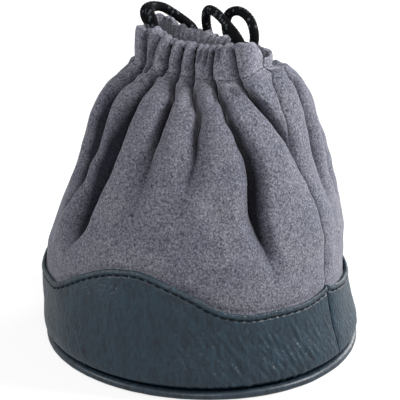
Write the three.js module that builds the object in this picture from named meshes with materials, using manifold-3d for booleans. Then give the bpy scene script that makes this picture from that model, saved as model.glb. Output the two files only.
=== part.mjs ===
// A gathered drawstring pouch for a camera lens. Soft grey panels are drawn in to a slit mouth above a padded cup,
// which has a wavy leather-look band outside, a bead round its foot and a lining inside.
// Millimetres, +Z up. The front faces -Y, the side seams lie on +X and -X, and the origin is the middle of the
// underside.
import * as THREE from 'three';
import Module from 'manifold-3d';
import { mergeVertices } from 'three/addons/utils/BufferGeometryUtils.js';

const wasm = await Module();
wasm.setup();

const { clamp, degToRad, lerp, smoothstep } = THREE.MathUtils;

// Driving sizes of the whole pouch
const BASE_RADIUS = 60;
const NECK_HEIGHT = 110;
const NECK_HALF_LENGTH = 24.4;
const NECK_HALF_DEPTH = 10.2;
const CLEARANCE = 0.3;

// Cloth, band and padding
const PANEL_THICKNESS = 0.9;
const PANEL_FOOT = 8;
const BAND_THICKNESS = 1.1;
const BAND_SETBACK = 0.8;
const BAND_TUCK = 0.9;
const BAND_TUCK_HEIGHT = 3.4;
const LINING_THICKNESS = 0.6;
const BOTTOM_FOAM_THICKNESS = 6.3;
const WALL_FOAM_THICKNESS = 2.5;
const WALL_FOAM_TOP = 36;
const FOAM_FOOT_INSET = 0.4;

// Bead round the bottom edge: a strip folded over a cord, with its seam allowance turned inwards
const BEAD_RADIUS = 1.8;
const BEAD_STRIP_THICKNESS = 0.45;
const BEAD_FLANGE_WIDTH = 7;

// Wavy upper edge of the band: a hump on the front and the rear, low beside it, rising to the seams
const EDGE_LOW = 32.2;
const EDGE_HUMP_RISE = 16.6;
const EDGE_SEAM_RISE = 0.6;
const EDGE_LEAN = 0.3;
const EDGE_HUMP_HALF_ANGLE = degToRad(47);
const EDGE_TURN = degToRad(5);
const THREAD_BELOW_EDGE = 2.3;
const THREAD_RADIUS = 0.3;

// Folds drawn into the panels
const FOLD_DEPTH = 5;
const FOLD_HALF_WIDTH = 8;
const FOLD_FULL_WIDTH_ARC = 46;

// Drawstring hems: two channels, open at their ends, bowed round the slit mouth
const CASING_HALF_LENGTH = 16.5;
const CASING_MID_DEPTH = 7.4;
const CASING_BOW = 1.4;
const CASING_WALL = 0.5;
const CASING_HEM = 2.1;

// Drawstrings
const CORD_RADIUS = 1.6;
const KNOT_RADIUS = 4.2;
const KNOT_LENGTH = 8;
const KNOT_TAIL_LENGTH = 7;
const KNOT_TILT = degToRad(14);
const RIGHT_KNOT = [2, 55.4, 63];
const LEFT_KNOT = [-15.5, 52.9, 65];

// Faceting
const COLUMNS = 30;
const PANEL_COLUMNS = 44;
const BAND_ROWS = 4;
const RING_SEGMENTS = 40;
const CASING_STEPS = 12;
const CORD_SIDES = 8;
const RUN_SIDES = 6;
const STRAND_STEPS = 26;

// Places that follow from the sizes above
const PANEL_RADIUS = BASE_RADIUS - BAND_SETBACK - BAND_THICKNESS - CLEARANCE;
const BEAD_RING_RADIUS = BASE_RADIUS - BEAD_RADIUS;
const FLANGE_HALF_THICKNESS = CLEARANCE / 2 + BEAD_STRIP_THICKNESS;
const FLANGE_TOP = BEAD_RADIUS + FLANGE_HALF_THICKNESS;
const FLANGE_FOOT = BEAD_RADIUS - FLANGE_HALF_THICKNESS;
const BAND_FOOT = 2 * BEAD_RADIUS + CLEARANCE;
const BOTTOM_FOAM_TOP = FLANGE_TOP + CLEARANCE + BOTTOM_FOAM_THICKNESS;
const CHANNEL_HALF_WIDTH = CORD_RADIUS + CLEARANCE;
const RUN_SPACING = 2 * CORD_RADIUS + CLEARANCE;
const CHANNEL_HALF_HEIGHT = RUN_SPACING / 2 + CORD_RADIUS + CLEARANCE;
const CASING_HALF_WIDTH = CHANNEL_HALF_WIDTH + CASING_WALL;
const CASING_HALF_HEIGHT = CHANNEL_HALF_HEIGHT + CASING_HEM;
const CASING_MID_HEIGHT = NECK_HEIGHT + CLEARANCE + CASING_HALF_HEIGHT;

// Rows of the wall from the panels' foot to the neck: share of the height between them, then how far the side
// and the front still stand out, from 1 at the foot to 0 at the neck
const wallShares = [
  [0, 1, 1],
  [0.098, 0.988, 0.991],
  [0.216, 0.961, 0.973],
  [0.333, 0.925, 0.948],
  [0.412, 0.892, 0.924],
  [0.51, 0.817, 0.872],
  [0.608, 0.716, 0.8],
  [0.706, 0.623, 0.731],
  [0.804, 0.533, 0.647],
  [0.873, 0.434, 0.542],
  [0.922, 0.338, 0.426],
  [0.943, 0.284, 0.361],
  [0.961, 0.222, 0.279],
  [0.975, 0.165, 0.209],
  [0.986, 0.102, 0.128],
  [0.994, 0.052, 0.063],
  [1, 0, 0],
];

// Folds of the front, each followed down from the neck: share of the same height, angle from the front in degrees,
// share of the full depth
const frontFoldShares = [
  [
    [1, -46, 0],
    [0.986, -45, 0.3],
    [0.951, -42, 0.7],
    [0.902, -38.5, 0.9],
    [0.853, -35, 1],
    [0.784, -33, 1.05],
    [0.686, -36, 1],
    [0.608, -39, 0.75],
    [0.549, -41, 0.5],
    [0.471, -45, 0.2],
    [0.412, -47, 0],
  ],
  [
    [1, -22, 0],
    [0.986, -21, 0.35],
    [0.951, -19, 0.75],
    [0.902, -17, 0.95],
    [0.784, -16, 1.05],
    [0.706, -17, 1.05],
    [0.578, -21, 1],
    [0.471, -24, 0.75],
    [0.412, -26, 0.4],
    [0.353, -28, 0],
  ],
  [
    [1, -2, 0],
    [0.986, -1, 0.35],
    [0.951, 1, 0.75],
    [0.882, 2, 0.75],
    [0.833, 2, 0.65],
    [0.706, 1, 0.5],
    [0.578, -1, 0.2],
    [0.49, -2, 0],
  ],
  [
    [1, 17, 0],
    [0.986, 18, 0.3],
    [0.961, 20, 0.6],
    [0.926, 23, 0.8],
    [0.877, 24, 0.75],
    [0.804, 25, 0.6],
    [0.706, 23, 0.4],
    [0.608, 20, 0.15],
    [0.53, 19, 0],
  ],
  [
    [1, 36, 0],
    [0.986, 37, 0.4],
    [0.956, 39, 0.8],
    [0.912, 42.5, 1],
    [0.873, 46, 1.1],
    [0.828, 49.5, 1.15],
    [0.784, 52, 1.2],
    [0.706, 55, 1.15],
    [0.608, 54, 1],
    [0.539, 55, 0.8],
    [0.461, 58, 0.5],
    [0.392, 60, 0.25],
    [0.324, 61, 0],
  ],
  [
    [1, 62, 0],
    [0.975, 64, 0.5],
    [0.941, 67, 0.8],
    [0.902, 70.5, 0.8],
    [0.863, 74, 0.7],
    [0.804, 79, 0.45],
    [0.725, 82, 0.2],
    [0.647, 84, 0],
  ],
];

// Folds of the rear and the far left, which run alike: angle at the neck, angle low down, share of the depth
const plainFoldShares = [
  [-74, -79, 0.6],
  [104, 101, 0.8],
  [124, 119, 0.9],
  [146, 142, 0.9],
  [164, 164, 0.9],
  [190.5, 189.5, 0.7],
  [221, 215, 0.9],
  [240, 241, 0.9],
  [258, 259, 0.8],
];

// How each of those runs from the neck down: share of the height, share of the turn, share of its depth
const plainTrackShares = [
  [1, 0, 0],
  [0.986, 0, 0.35],
  [0.961, 0.1, 0.75],
  [0.902, 0.3, 0.95],
  [0.784, 0.6, 1.05],
  [0.686, 0.8, 0.95],
  [0.588, 1, 0.6],
  [0.471, 1, 0.2],
  [0.392, 1, 0],
];

// Routes of the free strands, from beside the hem's end to the knot
const RIGHT_FRONT_ROUTE = [
  [18.4, -2.2, 108.6],
  [18.4, -2.2, 113],
  [18.3, -2.2, 117.5],
  [17.2, -2, 121.4],
  [14.6, -1.2, 124.2],
  [10.6, 0.6, 126.4],
  [6.2, 3, 128.2],
  [1.8, 5.6, 129],
  [-1.9, 8.2, 128.3],
  [-4.2, 10.4, 125.6],
  [-5.2, 12.2, 121.2],
  [-5.4, 14.4, 116.4],
  [-5.2, 18.6, 112.4],
  [-4.6, 25, 108.8],
  [-3.8, 32, 104.2],
  [-3, 38.2, 98.2],
  [-2.2, 43, 91],
  [-1.4, 47.4, 83],
  [-0.5, 51.6, 75],
  [0.25, 54.2, 67.5],
];
const RIGHT_BACK_ROUTE = [
  [18.4, 2.2, 108.6],
  [18.6, 2.2, 112.6],
  [19.6, 2.2, 116.6],
  [20.6, 2, 120.6],
  [20.6, 2.2, 124.6],
  [18.4, 3.6, 128.4],
  [14.4, 5.8, 130.2],
  [9.8, 8.2, 129.8],
  [5.8, 10.2, 127.6],
  [3.7, 11.6, 124.2],
  [3.1, 12.8, 119.8],
  [3.3, 15.2, 115.2],
  [3.7, 19.6, 111.6],
  [4.1, 25.8, 108.4],
  [4.4, 32.6, 103.8],
  [4.5, 38.6, 97.6],
  [4.5, 43.3, 90.4],
  [4.3, 47.6, 82.6],
  [4, 51.7, 74.8],
  [3.75, 54.2, 67.5],
];
const LEFT_FRONT_ROUTE = [
  [-18.4, -2.2, 108.6],
  [-18.5, -2.2, 112.8],
  [-18.6, -2.7, 116.8],
  [-18.6, -2.8, 120.7],
  [-19.8, -1.9, 124],
  [-22.2, -0.1, 126.1],
  [-23.8, 2.7, 126.8],
  [-24.1, 6.2, 126.5],
  [-22.7, 9.6, 125.7],
  [-20.1, 12, 123.5],
  [-16.6, 13.6, 120.9],
  [-14.2, 16.6, 117.4],
  [-13.7, 20, 112.8],
  [-13.4, 25.2, 108.5],
  [-13.4, 31, 103.8],
  [-13.4, 36.8, 97.9],
  [-13.5, 41.8, 90.5],
  [-13.5, 46, 82.8],
  [-13.6, 49.8, 76],
  [-13.75, 51.8, 69.5],
];
const LEFT_BACK_ROUTE = [
  [-18.4, 2.2, 108.6],
  [-19, 2, 112.4],
  [-19.8, 1, 116.6],
  [-21.8, 0.3, 120.5],
  [-24.7, 1.1, 123.2],
  [-27, 3.8, 124.8],
  [-27.7, 7.3, 125.5],
  [-26.7, 10.8, 125.2],
  [-24.2, 13.6, 124],
  [-21.1, 15.3, 121.8],
  [-18.3, 17.3, 119.1],
  [-16.9, 20.6, 116.1],
  [-17, 23.8, 111.8],
  [-17.6, 27.5, 107.1],
  [-17.4, 32.5, 102.4],
  [-17.5, 37, 96.1],
  [-17.4, 41.2, 88.8],
  [-17.3, 45.6, 82],
  [-17.3, 49.7, 76],
  [-17.25, 51.8, 69.5],
];

// Finishes
const suede = () => new THREE.MeshStandardMaterial({ color: 0x7b7c87, roughness: 0.95 });
const leather = () => new THREE.MeshStandardMaterial({ color: 0x43525f, roughness: 0.55 });
const lining = () => new THREE.MeshStandardMaterial({ color: 0x6c6e77, roughness: 0.95 });
const foam = () => new THREE.MeshStandardMaterial({ color: 0x4a4c52, roughness: 1 });
const board = () => new THREE.MeshStandardMaterial({ color: 0x2b2d30, roughness: 0.7 });
const thread = () => new THREE.MeshStandardMaterial({ color: 0x1d252d, roughness: 0.8 });
const braid = () => new THREE.MeshStandardMaterial({ color: 0x131416, roughness: 0.8 });

// Closed solid from points and triangles, turned so that its faces point out
function solidFrom(points, triangles) {
  let volume = 0;
  for (const [a, b, c] of triangles) {
    volume += points[a].dot(new THREE.Vector3().crossVectors(points[b], points[c]));
  }
  const index = triangles.flatMap(([a, b, c]) => (volume < 0 ? [a, c, b] : [a, b, c]));
  const geometry = new THREE.BufferGeometry();
  geometry.setAttribute('position', new THREE.Float32BufferAttribute(points.flatMap((p) => p.toArray()), 3));
  geometry.setIndex(index);
  geometry.computeVertexNormals();
  return geometry;
}

function quad(a, b, c, d) {
  return [[a, b, c], [a, c, d]];
}

// Thin-walled solid between two grids of points; with around set, each row closes on itself
function shell(outer, inner, around = false) {
  const rows = outer.length;
  const columns = outer[0].length;
  const points = [...outer.flat(), ...inner.flat()];
  const out = (i, j) => i * columns + (j % columns);
  const into = (i, j) => rows * columns + out(i, j);
  const triangles = [];
  const lastColumn = around ? columns : columns - 1;
  for (let j = 0; j < lastColumn; j += 1) {
    for (let i = 0; i < rows - 1; i += 1) {
      triangles.push(...quad(out(i, j), out(i, j + 1), out(i + 1, j + 1), out(i + 1, j)));
      triangles.push(...quad(into(i, j), into(i + 1, j), into(i + 1, j + 1), into(i, j + 1)));
    }
    triangles.push(...quad(out(0, j), into(0, j), into(0, j + 1), out(0, j + 1)));
    triangles.push(...quad(out(rows - 1, j), out(rows - 1, j + 1), into(rows - 1, j + 1), into(rows - 1, j)));
  }
  if (!around) {
    for (let i = 0; i < rows - 1; i += 1) {
      triangles.push(...quad(out(i, 0), out(i + 1, 0), into(i + 1, 0), into(i, 0)));
      const j = columns - 1;
      triangles.push(...quad(out(i, j), into(i, j), into(i + 1, j), out(i + 1, j)));
    }
  }
  return solidFrom(points, triangles);
}

// Rod through rings of points, capped at both ends, or joined end to end when it is a loop
function rod(rings, loop = false) {
  const sides = rings[0].length;
  const points = rings.flat();
  const at = (i, j) => (i % rings.length) * sides + (j % sides);
  const triangles = [];
  const spans = loop ? rings.length : rings.length - 1;
  for (let i = 0; i < spans; i += 1) {
    for (let j = 0; j < sides; j += 1) {
      triangles.push(...quad(at(i, j), at(i, j + 1), at(i + 1, j + 1), at(i + 1, j)));
    }
  }
  if (!loop) {
    for (let j = 1; j < sides - 1; j += 1) {
      triangles.push([at(0, 0), at(0, j + 1), at(0, j)]);
      triangles.push([at(spans, 0), at(spans, j), at(spans, j + 1)]);
    }
  }
  return solidFrom(points, triangles);
}

function lathe(outline, segments = RING_SEGMENTS) {
  const points = outline.map(([radius, height]) => new THREE.Vector2(radius, height));
  return new THREE.LatheGeometry(points, segments).rotateX(Math.PI / 2);
}

function disc(radius, foot, top) {
  return lathe([[0, foot], [radius, foot], [radius, top], [0, top]]);
}

// Wall of the pouch: how far its outside stands from the axis at the side and at the front
function wallReach(height) {
  const share = clamp((height - PANEL_FOOT) / (NECK_HEIGHT - PANEL_FOOT), 0, 1);
  const above = wallShares.findIndex((row) => row[0] >= share && row[0] > 0);
  const [low, high] = [wallShares[above - 1], wallShares[above]];
  const t = (share - low[0]) / (high[0] - low[0]);
  return {
    side: lerp(NECK_HALF_LENGTH, PANEL_RADIUS, lerp(low[1], high[1], t)),
    depth: lerp(NECK_HALF_DEPTH, PANEL_RADIUS, lerp(low[2], high[2], t)),
  };
}

// Angle of a fold at a share of the height, and its share of the depth there
function foldAt(track, share) {
  const below = track.findIndex((row) => row[0] <= share);
  if (below < 1) {
    return [0, 0];
  }
  const [high, low] = [track[below - 1], track[below]];
  const t = (share - low[0]) / (high[0] - low[0]);
  return [degToRad(lerp(low[1], high[1], t)), lerp(low[2], high[2], t)];
}

function plainTrack([neckAngle, lowAngle, strength]) {
  return plainTrackShares.map(([share, turn, depth]) => [share, lerp(neckAngle, lowAngle, turn), strength * depth]);
}

const foldTracks = [...frontFoldShares, ...plainFoldShares.map(plainTrack)];

// Depth of the folds at a place; they are narrower where the cloth is drawn together
function foldDepth(angle, share) {
  const reach = wallReach(lerp(PANEL_FOOT, NECK_HEIGHT, share));
  const arc = Math.hypot(reach.side * Math.cos(angle), reach.depth * Math.sin(angle));
  const halfWidth = FOLD_HALF_WIDTH * Math.min(arc / FOLD_FULL_WIDTH_ARC, 1);
  let depth = 0;
  for (const track of foldTracks) {
    const [middle, strength] = foldAt(track, share);
    const away = Math.abs(Math.atan2(Math.sin(angle - middle), Math.cos(angle - middle))) * arc;
    if (away < halfWidth) {
      depth += strength * 0.5 * (1 + Math.cos((Math.PI * away) / halfWidth));
    }
  }
  return FOLD_DEPTH * depth;
}

function wallPoint(angle, height, push) {
  const reach = wallReach(height);
  return new THREE.Vector3((reach.side + push) * Math.sin(angle), -(reach.depth + push) * Math.cos(angle), height);
}

function halfAngles(middle, columns = COLUMNS) {
  return Array.from({ length: columns + 1 }, (_, j) => middle + Math.PI * (j / columns - 0.5));
}

// Grid moved inwards, by a distance for each row and column; hems stay level and side edges stay on the seam's plane
function insetGrid(grid, distanceAt) {
  const lastRow = grid.length - 1;
  const lastColumn = grid[0].length - 1;
  return grid.map((row, i) => row.map((point, j) => {
    const up = grid[Math.min(i + 1, lastRow)][j].clone().sub(grid[Math.max(i - 1, 0)][j]);
    const along = row[Math.min(j + 1, lastColumn)].clone().sub(row[Math.max(j - 1, 0)]);
    const inward = up.cross(along);
    if (i === 0 || i === lastRow) {
      inward.z = 0;
    }
    if (j === 0 || j === lastColumn) {
      inward.y = 0;
    }
    return point.clone().addScaledVector(inward.normalize(), distanceAt(i, j));
  }));
}

// Halves part at the side seams by the clearance: the front one lies that much forward
function seamShift(middle) {
  return -Math.cos(middle) * CLEARANCE / 2;
}

function panel(middle) {
  const angles = halfAngles(middle, PANEL_COLUMNS);
  const smooth = wallShares.map(([share]) => {
    const height = lerp(PANEL_FOOT, NECK_HEIGHT, share);
    return angles.map((angle) => wallPoint(angle, height, 0));
  });
  const outer = insetGrid(smooth, (i, j) => foldDepth(angles[j], wallShares[i][0]));
  const inner = insetGrid(outer, () => PANEL_THICKNESS);
  return shell(outer, inner).translate(0, seamShift(middle), 0);
}

function edgeHeight(angle) {
  const turned = angle - EDGE_TURN;
  const away = Math.abs(Math.atan(Math.tan(turned)));
  const lean = EDGE_LEAN * Math.sin(angle);
  if (away < EDGE_HUMP_HALF_ANGLE) {
    return EDGE_LOW + lean + EDGE_HUMP_RISE * 0.5 * (1 + Math.cos((Math.PI * away) / EDGE_HUMP_HALF_ANGLE));
  }
  return EDGE_LOW + lean + EDGE_SEAM_RISE * smoothstep(away, EDGE_HUMP_HALF_ANGLE, Math.PI / 2);
}

// Point on the band, out from the panel behind it; the foot is tucked in above the bead
function bandPoint(angle, height, out) {
  const tuck = BAND_TUCK * (1 - smoothstep(height, BAND_FOOT, BAND_FOOT + BAND_TUCK_HEIGHT));
  return wallPoint(angle, height, CLEARANCE + out - tuck);
}

function band(middle) {
  const angles = halfAngles(middle);
  const tuckTop = BAND_FOOT + BAND_TUCK_HEIGHT;
  const face = (out) => {
    const foot = angles.map((angle) => bandPoint(angle, BAND_FOOT, out));
    const rows = Array.from({ length: BAND_ROWS + 1 }, (_, i) => angles.map((angle) => {
      const height = lerp(tuckTop, edgeHeight(angle), i / BAND_ROWS);
      return bandPoint(angle, height, out);
    }));
    return [foot, ...rows];
  };
  return shell(face(BAND_THICKNESS), face(0)).translate(0, seamShift(middle), 0);
}

// Small regular polygon spanned by two directions
function ringAt(centre, across, up, radius, sides) {
  return Array.from({ length: sides }, (_, k) => {
    const turn = (2 * Math.PI * k) / sides;
    return centre.clone()
      .addScaledVector(across, radius * Math.cos(turn))
      .addScaledVector(up, radius * Math.sin(turn));
  });
}

const UP = new THREE.Vector3(0, 0, 1);
const THREAD_SIDES = 5;

function bandThread() {
  const rings = [];
  for (let j = 0; j < 2 * COLUMNS; j += 1) {
    const angle = (Math.PI * j) / COLUMNS;
    const out = BAND_THICKNESS + CLEARANCE + THREAD_RADIUS + CLEARANCE / 2;
    const centre = bandPoint(angle, edgeHeight(angle) - THREAD_BELOW_EDGE, out);
    const across = new THREE.Vector3(Math.sin(angle), -Math.cos(angle), 0);
    rings.push(ringAt(centre, across, UP, THREAD_RADIUS, THREAD_SIDES));
  }
  return rod(rings, true);
}

// Outline of the bead: out along the top of the folded strip, round the bead, back and along its inside
function pipingCover() {
  const outsideArcPoints = 6;
  const insideArcPoints = 6;
  const innerEnd = BEAD_RING_RADIUS - BEAD_FLANGE_WIDTH;
  const hollow = BEAD_RADIUS - BEAD_STRIP_THICKNESS;
  const slit = CLEARANCE / 2;
  const arc = (radius, halfGap, count) => {
    const start = Math.PI - Math.asin(halfGap / radius);
    return Array.from({ length: count + 1 }, (_, k) => {
      const turn = lerp(start, -start, k / count);
      return [BEAD_RING_RADIUS + radius * Math.cos(turn), BEAD_RADIUS + radius * Math.sin(turn)];
    });
  };
  return lathe([
    [innerEnd, FLANGE_TOP],
    ...arc(BEAD_RADIUS, FLANGE_HALF_THICKNESS, outsideArcPoints),
    [innerEnd, FLANGE_FOOT],
    [innerEnd, BEAD_RADIUS - slit],
    ...arc(hollow, slit, insideArcPoints).reverse(),
    [innerEnd, BEAD_RADIUS + slit],
    [innerEnd, FLANGE_TOP],
  ].reverse());
}

function pipingCore() {
  const radius = BEAD_RADIUS - BEAD_STRIP_THICKNESS - CLEARANCE;
  const rings = Array.from({ length: RING_SEGMENTS }, (_, j) => {
    const angle = (2 * Math.PI * j) / RING_SEGMENTS;
    const across = new THREE.Vector3(Math.sin(angle), Math.cos(angle), 0);
    const centre = across.clone().multiplyScalar(BEAD_RING_RADIUS).setZ(BEAD_RADIUS);
    return ringAt(centre, across, UP, radius, RUN_SIDES);
  });
  return rod(rings, true);
}

// Radius of the cup's inside layers, counted in from the panels
function foamOutside(height) {
  return wallReach(height).side - PANEL_THICKNESS - CLEARANCE;
}

function foamInside(height) {
  return foamOutside(height) - WALL_FOAM_THICKNESS;
}

const FOAM_FOOT = FLANGE_TOP + CLEARANCE;
const FOAM_MIDDLE = (PANEL_FOOT + WALL_FOAM_TOP) / 2;

function wallFoam() {
  return lathe([
    [foamInside(FOAM_FOOT), FOAM_FOOT],
    [foamOutside(FOAM_FOOT) - FOAM_FOOT_INSET, FOAM_FOOT],
    [foamOutside(PANEL_FOOT), PANEL_FOOT],
    [foamOutside(FOAM_MIDDLE), FOAM_MIDDLE],
    [foamOutside(WALL_FOAM_TOP), WALL_FOAM_TOP],
    [foamInside(WALL_FOAM_TOP), WALL_FOAM_TOP],
    [foamInside(FOAM_MIDDLE), FOAM_MIDDLE],
    [foamInside(PANEL_FOOT), PANEL_FOOT],
    [foamInside(FOAM_FOOT), FOAM_FOOT],
  ]);
}

// Lining of the cup's wall, folded out over the top of the foam
function wallLining() {
  const outside = (height) => foamInside(height) - CLEARANCE;
  const inside = (height) => outside(height) - LINING_THICKNESS;
  const foot = BOTTOM_FOAM_TOP + CLEARANCE;
  const collarFoot = WALL_FOAM_TOP + CLEARANCE;
  const collarTop = collarFoot + LINING_THICKNESS;
  return lathe([
    [inside(foot), foot],
    [outside(foot), foot],
    [outside(FOAM_MIDDLE), FOAM_MIDDLE],
    [outside(WALL_FOAM_TOP), collarFoot],
    [foamOutside(collarTop), collarFoot],
    [foamOutside(collarTop), collarTop],
    [inside(WALL_FOAM_TOP), collarTop],
    [inside(FOAM_MIDDLE), FOAM_MIDDLE],
    [inside(foot), foot],
  ]);
}

// Place along a hem, from its left end at share 0 to its right end at share 1, on the front or the rear
function casingPlace(share, side) {
  const away = 2 * share - 1;
  const centre = new THREE.Vector3(CASING_HALF_LENGTH * away, 0, CASING_MID_HEIGHT);
  centre.y = side * (CASING_MID_DEPTH - CASING_BOW * away * away);
  const slope = (side * -2 * CASING_BOW * away) / CASING_HALF_LENGTH;
  const across = new THREE.Vector3(-slope, 1, 0).normalize().multiplyScalar(side);
  return { centre, across };
}

function alongCasing(side, section) {
  return Array.from({ length: CASING_STEPS + 1 }, (_, i) => section(casingPlace(i / CASING_STEPS, side)));
}

const CASING_SIDES = 10;

// Rounded upright section of a hem, given by its half width and half height
function roundedSection({ centre, across }, halfWidth, halfHeight) {
  const soften = (value) => Math.sign(value) * Math.sqrt(Math.abs(value));
  return Array.from({ length: CASING_SIDES }, (_, k) => {
    const turn = (2 * Math.PI * (k + 0.5)) / CASING_SIDES;
    return centre.clone()
      .addScaledVector(across, halfWidth * soften(Math.cos(turn)))
      .addScaledVector(UP, halfHeight * soften(Math.sin(turn)));
  });
}

function casing(side) {
  const outer = alongCasing(side, (place) => roundedSection(place, CASING_HALF_WIDTH, CASING_HALF_HEIGHT));
  const inner = alongCasing(side, (place) => roundedSection(place, CHANNEL_HALF_WIDTH, CHANNEL_HALF_HEIGHT));
  return shell(outer, inner, true);
}

function casingRod(side, out, rise, radius, sides) {
  return rod(alongCasing(side, ({ centre, across }) => {
    const middle = centre.clone().addScaledVector(across, out).addScaledVector(UP, rise);
    return ringAt(middle, across, UP, radius, sides);
  }));
}

function casingThread(side) {
  const out = CASING_HALF_WIDTH + THREAD_RADIUS;
  return casingRod(side, out, -CHANNEL_HALF_HEIGHT - THREAD_RADIUS, THREAD_RADIUS, THREAD_SIDES);
}

function cordRun(side, level) {
  return casingRod(side, 0, (level * RUN_SPACING) / 2, CORD_RADIUS, RUN_SIDES);
}

function strand(route) {
  const path = new THREE.CatmullRomCurve3(route.map((point) => new THREE.Vector3(...point)));
  const section = new THREE.Shape(Array.from({ length: CORD_SIDES }, (_, k) => {
    const turn = (2 * Math.PI * k) / CORD_SIDES;
    return new THREE.Vector2(CORD_RADIUS * Math.cos(turn), CORD_RADIUS * Math.sin(turn));
  }));
  return new THREE.ExtrudeGeometry(section, { steps: STRAND_STEPS, extrudePath: path });
}

function toManifold(geometry) {
  const merged = mergeVertices(geometry.deleteAttribute('normal'));
  const vertProperties = new Float32Array(merged.attributes.position.array);
  const triVerts = new Uint32Array(merged.index.array);
  return new wasm.Manifold(new wasm.Mesh({ numProp: 3, vertProperties, triVerts }));
}

function fromManifold(solid) {
  const { numProp, vertProperties, triVerts } = solid.getMesh();
  const geometry = new THREE.BufferGeometry();
  geometry.setAttribute('position', new THREE.Float32BufferAttribute(vertProperties, numProp));
  geometry.setIndex(new THREE.Uint32BufferAttribute(triVerts, 1));
  geometry.computeVertexNormals();
  return geometry;
}

// Knot's outline, end to end: share of its length, then share of its radius
const knotShares = [[0, 0.84], [0.18, 1], [0.36, 0.93], [0.52, 1], [0.7, 0.93], [0.84, 1], [1, 0.84]];

// Overhand knot tying a drawstring's two ends, with the cut ends hanging out of it
function knot() {
  const across = new THREE.Vector3(1, 0, 0);
  const ahead = new THREE.Vector3(0, 1, 0);
  const level = (height) => new THREE.Vector3(0, 0, height);
  const body = rod(knotShares.map(([lengthShare, radiusShare]) => {
    const centre = level((lengthShare - 0.5) * KNOT_LENGTH);
    return ringAt(centre, across, ahead, radiusShare * KNOT_RADIUS, CORD_SIDES);
  }));
  let solid = toManifold(body);
  for (const side of [-1, 1]) {
    const tail = rod([0, -KNOT_LENGTH / 2 - KNOT_TAIL_LENGTH].map((height) => {
      const centre = level(height).setX((side * RUN_SPACING) / 2);
      return ringAt(centre, across, ahead, CORD_RADIUS, CORD_SIDES);
    }));
    solid = solid.add(toManifold(tail));
  }
  return fromManifold(solid);
}

const pouch = new THREE.Group();

function add(name, geometry, material, parent = pouch) {
  const mesh = new THREE.Mesh(geometry, material);
  mesh.name = name;
  parent.add(mesh);
  return mesh;
}

// Bottom, from the underside up
add('bottom_disc', disc(BEAD_RING_RADIUS - BEAD_RADIUS - CLEARANCE / 2, 0, FLANGE_FOOT - CLEARANCE), leather());
add('piping_cover', pipingCover(), leather());
add('piping_core', pipingCore(), braid());
add('bottom_board', disc(BEAD_RING_RADIUS - BEAD_FLANGE_WIDTH - CLEARANCE, FLANGE_FOOT, FLANGE_TOP), board());
add('bottom_foam', disc(foamInside(PANEL_FOOT) - CLEARANCE, FOAM_FOOT, BOTTOM_FOAM_TOP), foam());
add(
  'bottom_lining',
  disc(
    foamInside(BOTTOM_FOAM_TOP) - LINING_THICKNESS - 2 * CLEARANCE,
    BOTTOM_FOAM_TOP + CLEARANCE,
    BOTTOM_FOAM_TOP + CLEARANCE + LINING_THICKNESS,
  ),
  lining(),
);

// Padded cup
add('wall_foam', wallFoam(), foam());
add('wall_lining', wallLining(), lining());

// Front and rear halves, then the stitching along the band's edge
for (const [half, middle, side] of [['front', 0, -1], ['back', Math.PI, 1]]) {
  add(`band_${half}`, band(middle), leather());
  add(`${half}_panel`, panel(middle), suede());
  add(`${half}_casing`, casing(side), suede());
  add(`${half}_casing_thread`, casingThread(side), thread());
  add(`right_cord_${half}_run`, cordRun(side, 1), braid());
  add(`left_cord_${half}_run`, cordRun(side, -1), braid());
}
add('band_thread', bandThread(), thread());

// Free strands and knots of the two drawstrings
add('right_front_strand', strand(RIGHT_FRONT_ROUTE), braid());
add('right_back_strand', strand(RIGHT_BACK_ROUTE), braid());
add('left_front_strand', strand(LEFT_FRONT_ROUTE), braid());
add('left_back_strand', strand(LEFT_BACK_ROUTE), braid());
for (const [name, place] of [['right_knot', RIGHT_KNOT], ['left_knot', LEFT_KNOT]]) {
  const mesh = add(name, knot(), braid());
  mesh.position.set(...place);
  mesh.rotation.x = KNOT_TILT;
}

export default pouch;
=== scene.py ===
# Looks of a gathered drawstring pouch for a camera lens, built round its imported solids.
# Metres, +Z up. The front faces -Y and the side seams lie on +X and -X.
import math

import bpy
import numpy as np
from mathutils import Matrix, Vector


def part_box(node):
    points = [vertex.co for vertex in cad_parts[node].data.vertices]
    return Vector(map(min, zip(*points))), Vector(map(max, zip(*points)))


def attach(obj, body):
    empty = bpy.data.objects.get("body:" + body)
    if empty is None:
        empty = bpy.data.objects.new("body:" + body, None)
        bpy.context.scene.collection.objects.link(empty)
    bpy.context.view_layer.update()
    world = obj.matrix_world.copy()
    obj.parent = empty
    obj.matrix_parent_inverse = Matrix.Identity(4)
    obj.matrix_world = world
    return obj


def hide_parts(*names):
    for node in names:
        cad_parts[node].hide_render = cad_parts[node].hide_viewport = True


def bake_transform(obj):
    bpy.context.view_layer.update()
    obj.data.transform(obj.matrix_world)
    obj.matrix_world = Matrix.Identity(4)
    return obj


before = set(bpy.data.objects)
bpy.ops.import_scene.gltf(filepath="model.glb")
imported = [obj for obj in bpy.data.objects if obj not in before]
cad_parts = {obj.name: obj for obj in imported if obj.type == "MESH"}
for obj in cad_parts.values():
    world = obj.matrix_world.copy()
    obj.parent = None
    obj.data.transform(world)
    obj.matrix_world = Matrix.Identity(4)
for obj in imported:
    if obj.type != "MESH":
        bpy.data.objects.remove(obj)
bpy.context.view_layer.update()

# Camera, from the photograph's view
CAMERA_TURN = math.radians(30)
CAMERA_RISE = math.radians(22.43)
CAMERA_DISTANCE = 0.9
CAMERA_LENS = 214.3
SENSOR_WIDTH = 36
AIM_SIDE = -0.00077
AIM_HEIGHT = 0.0556

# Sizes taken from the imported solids
BAND_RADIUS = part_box("band_front")[1].x
BAND_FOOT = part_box("band_front")[0].z
BEAD_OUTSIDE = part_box("piping_cover")[1].x

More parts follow.
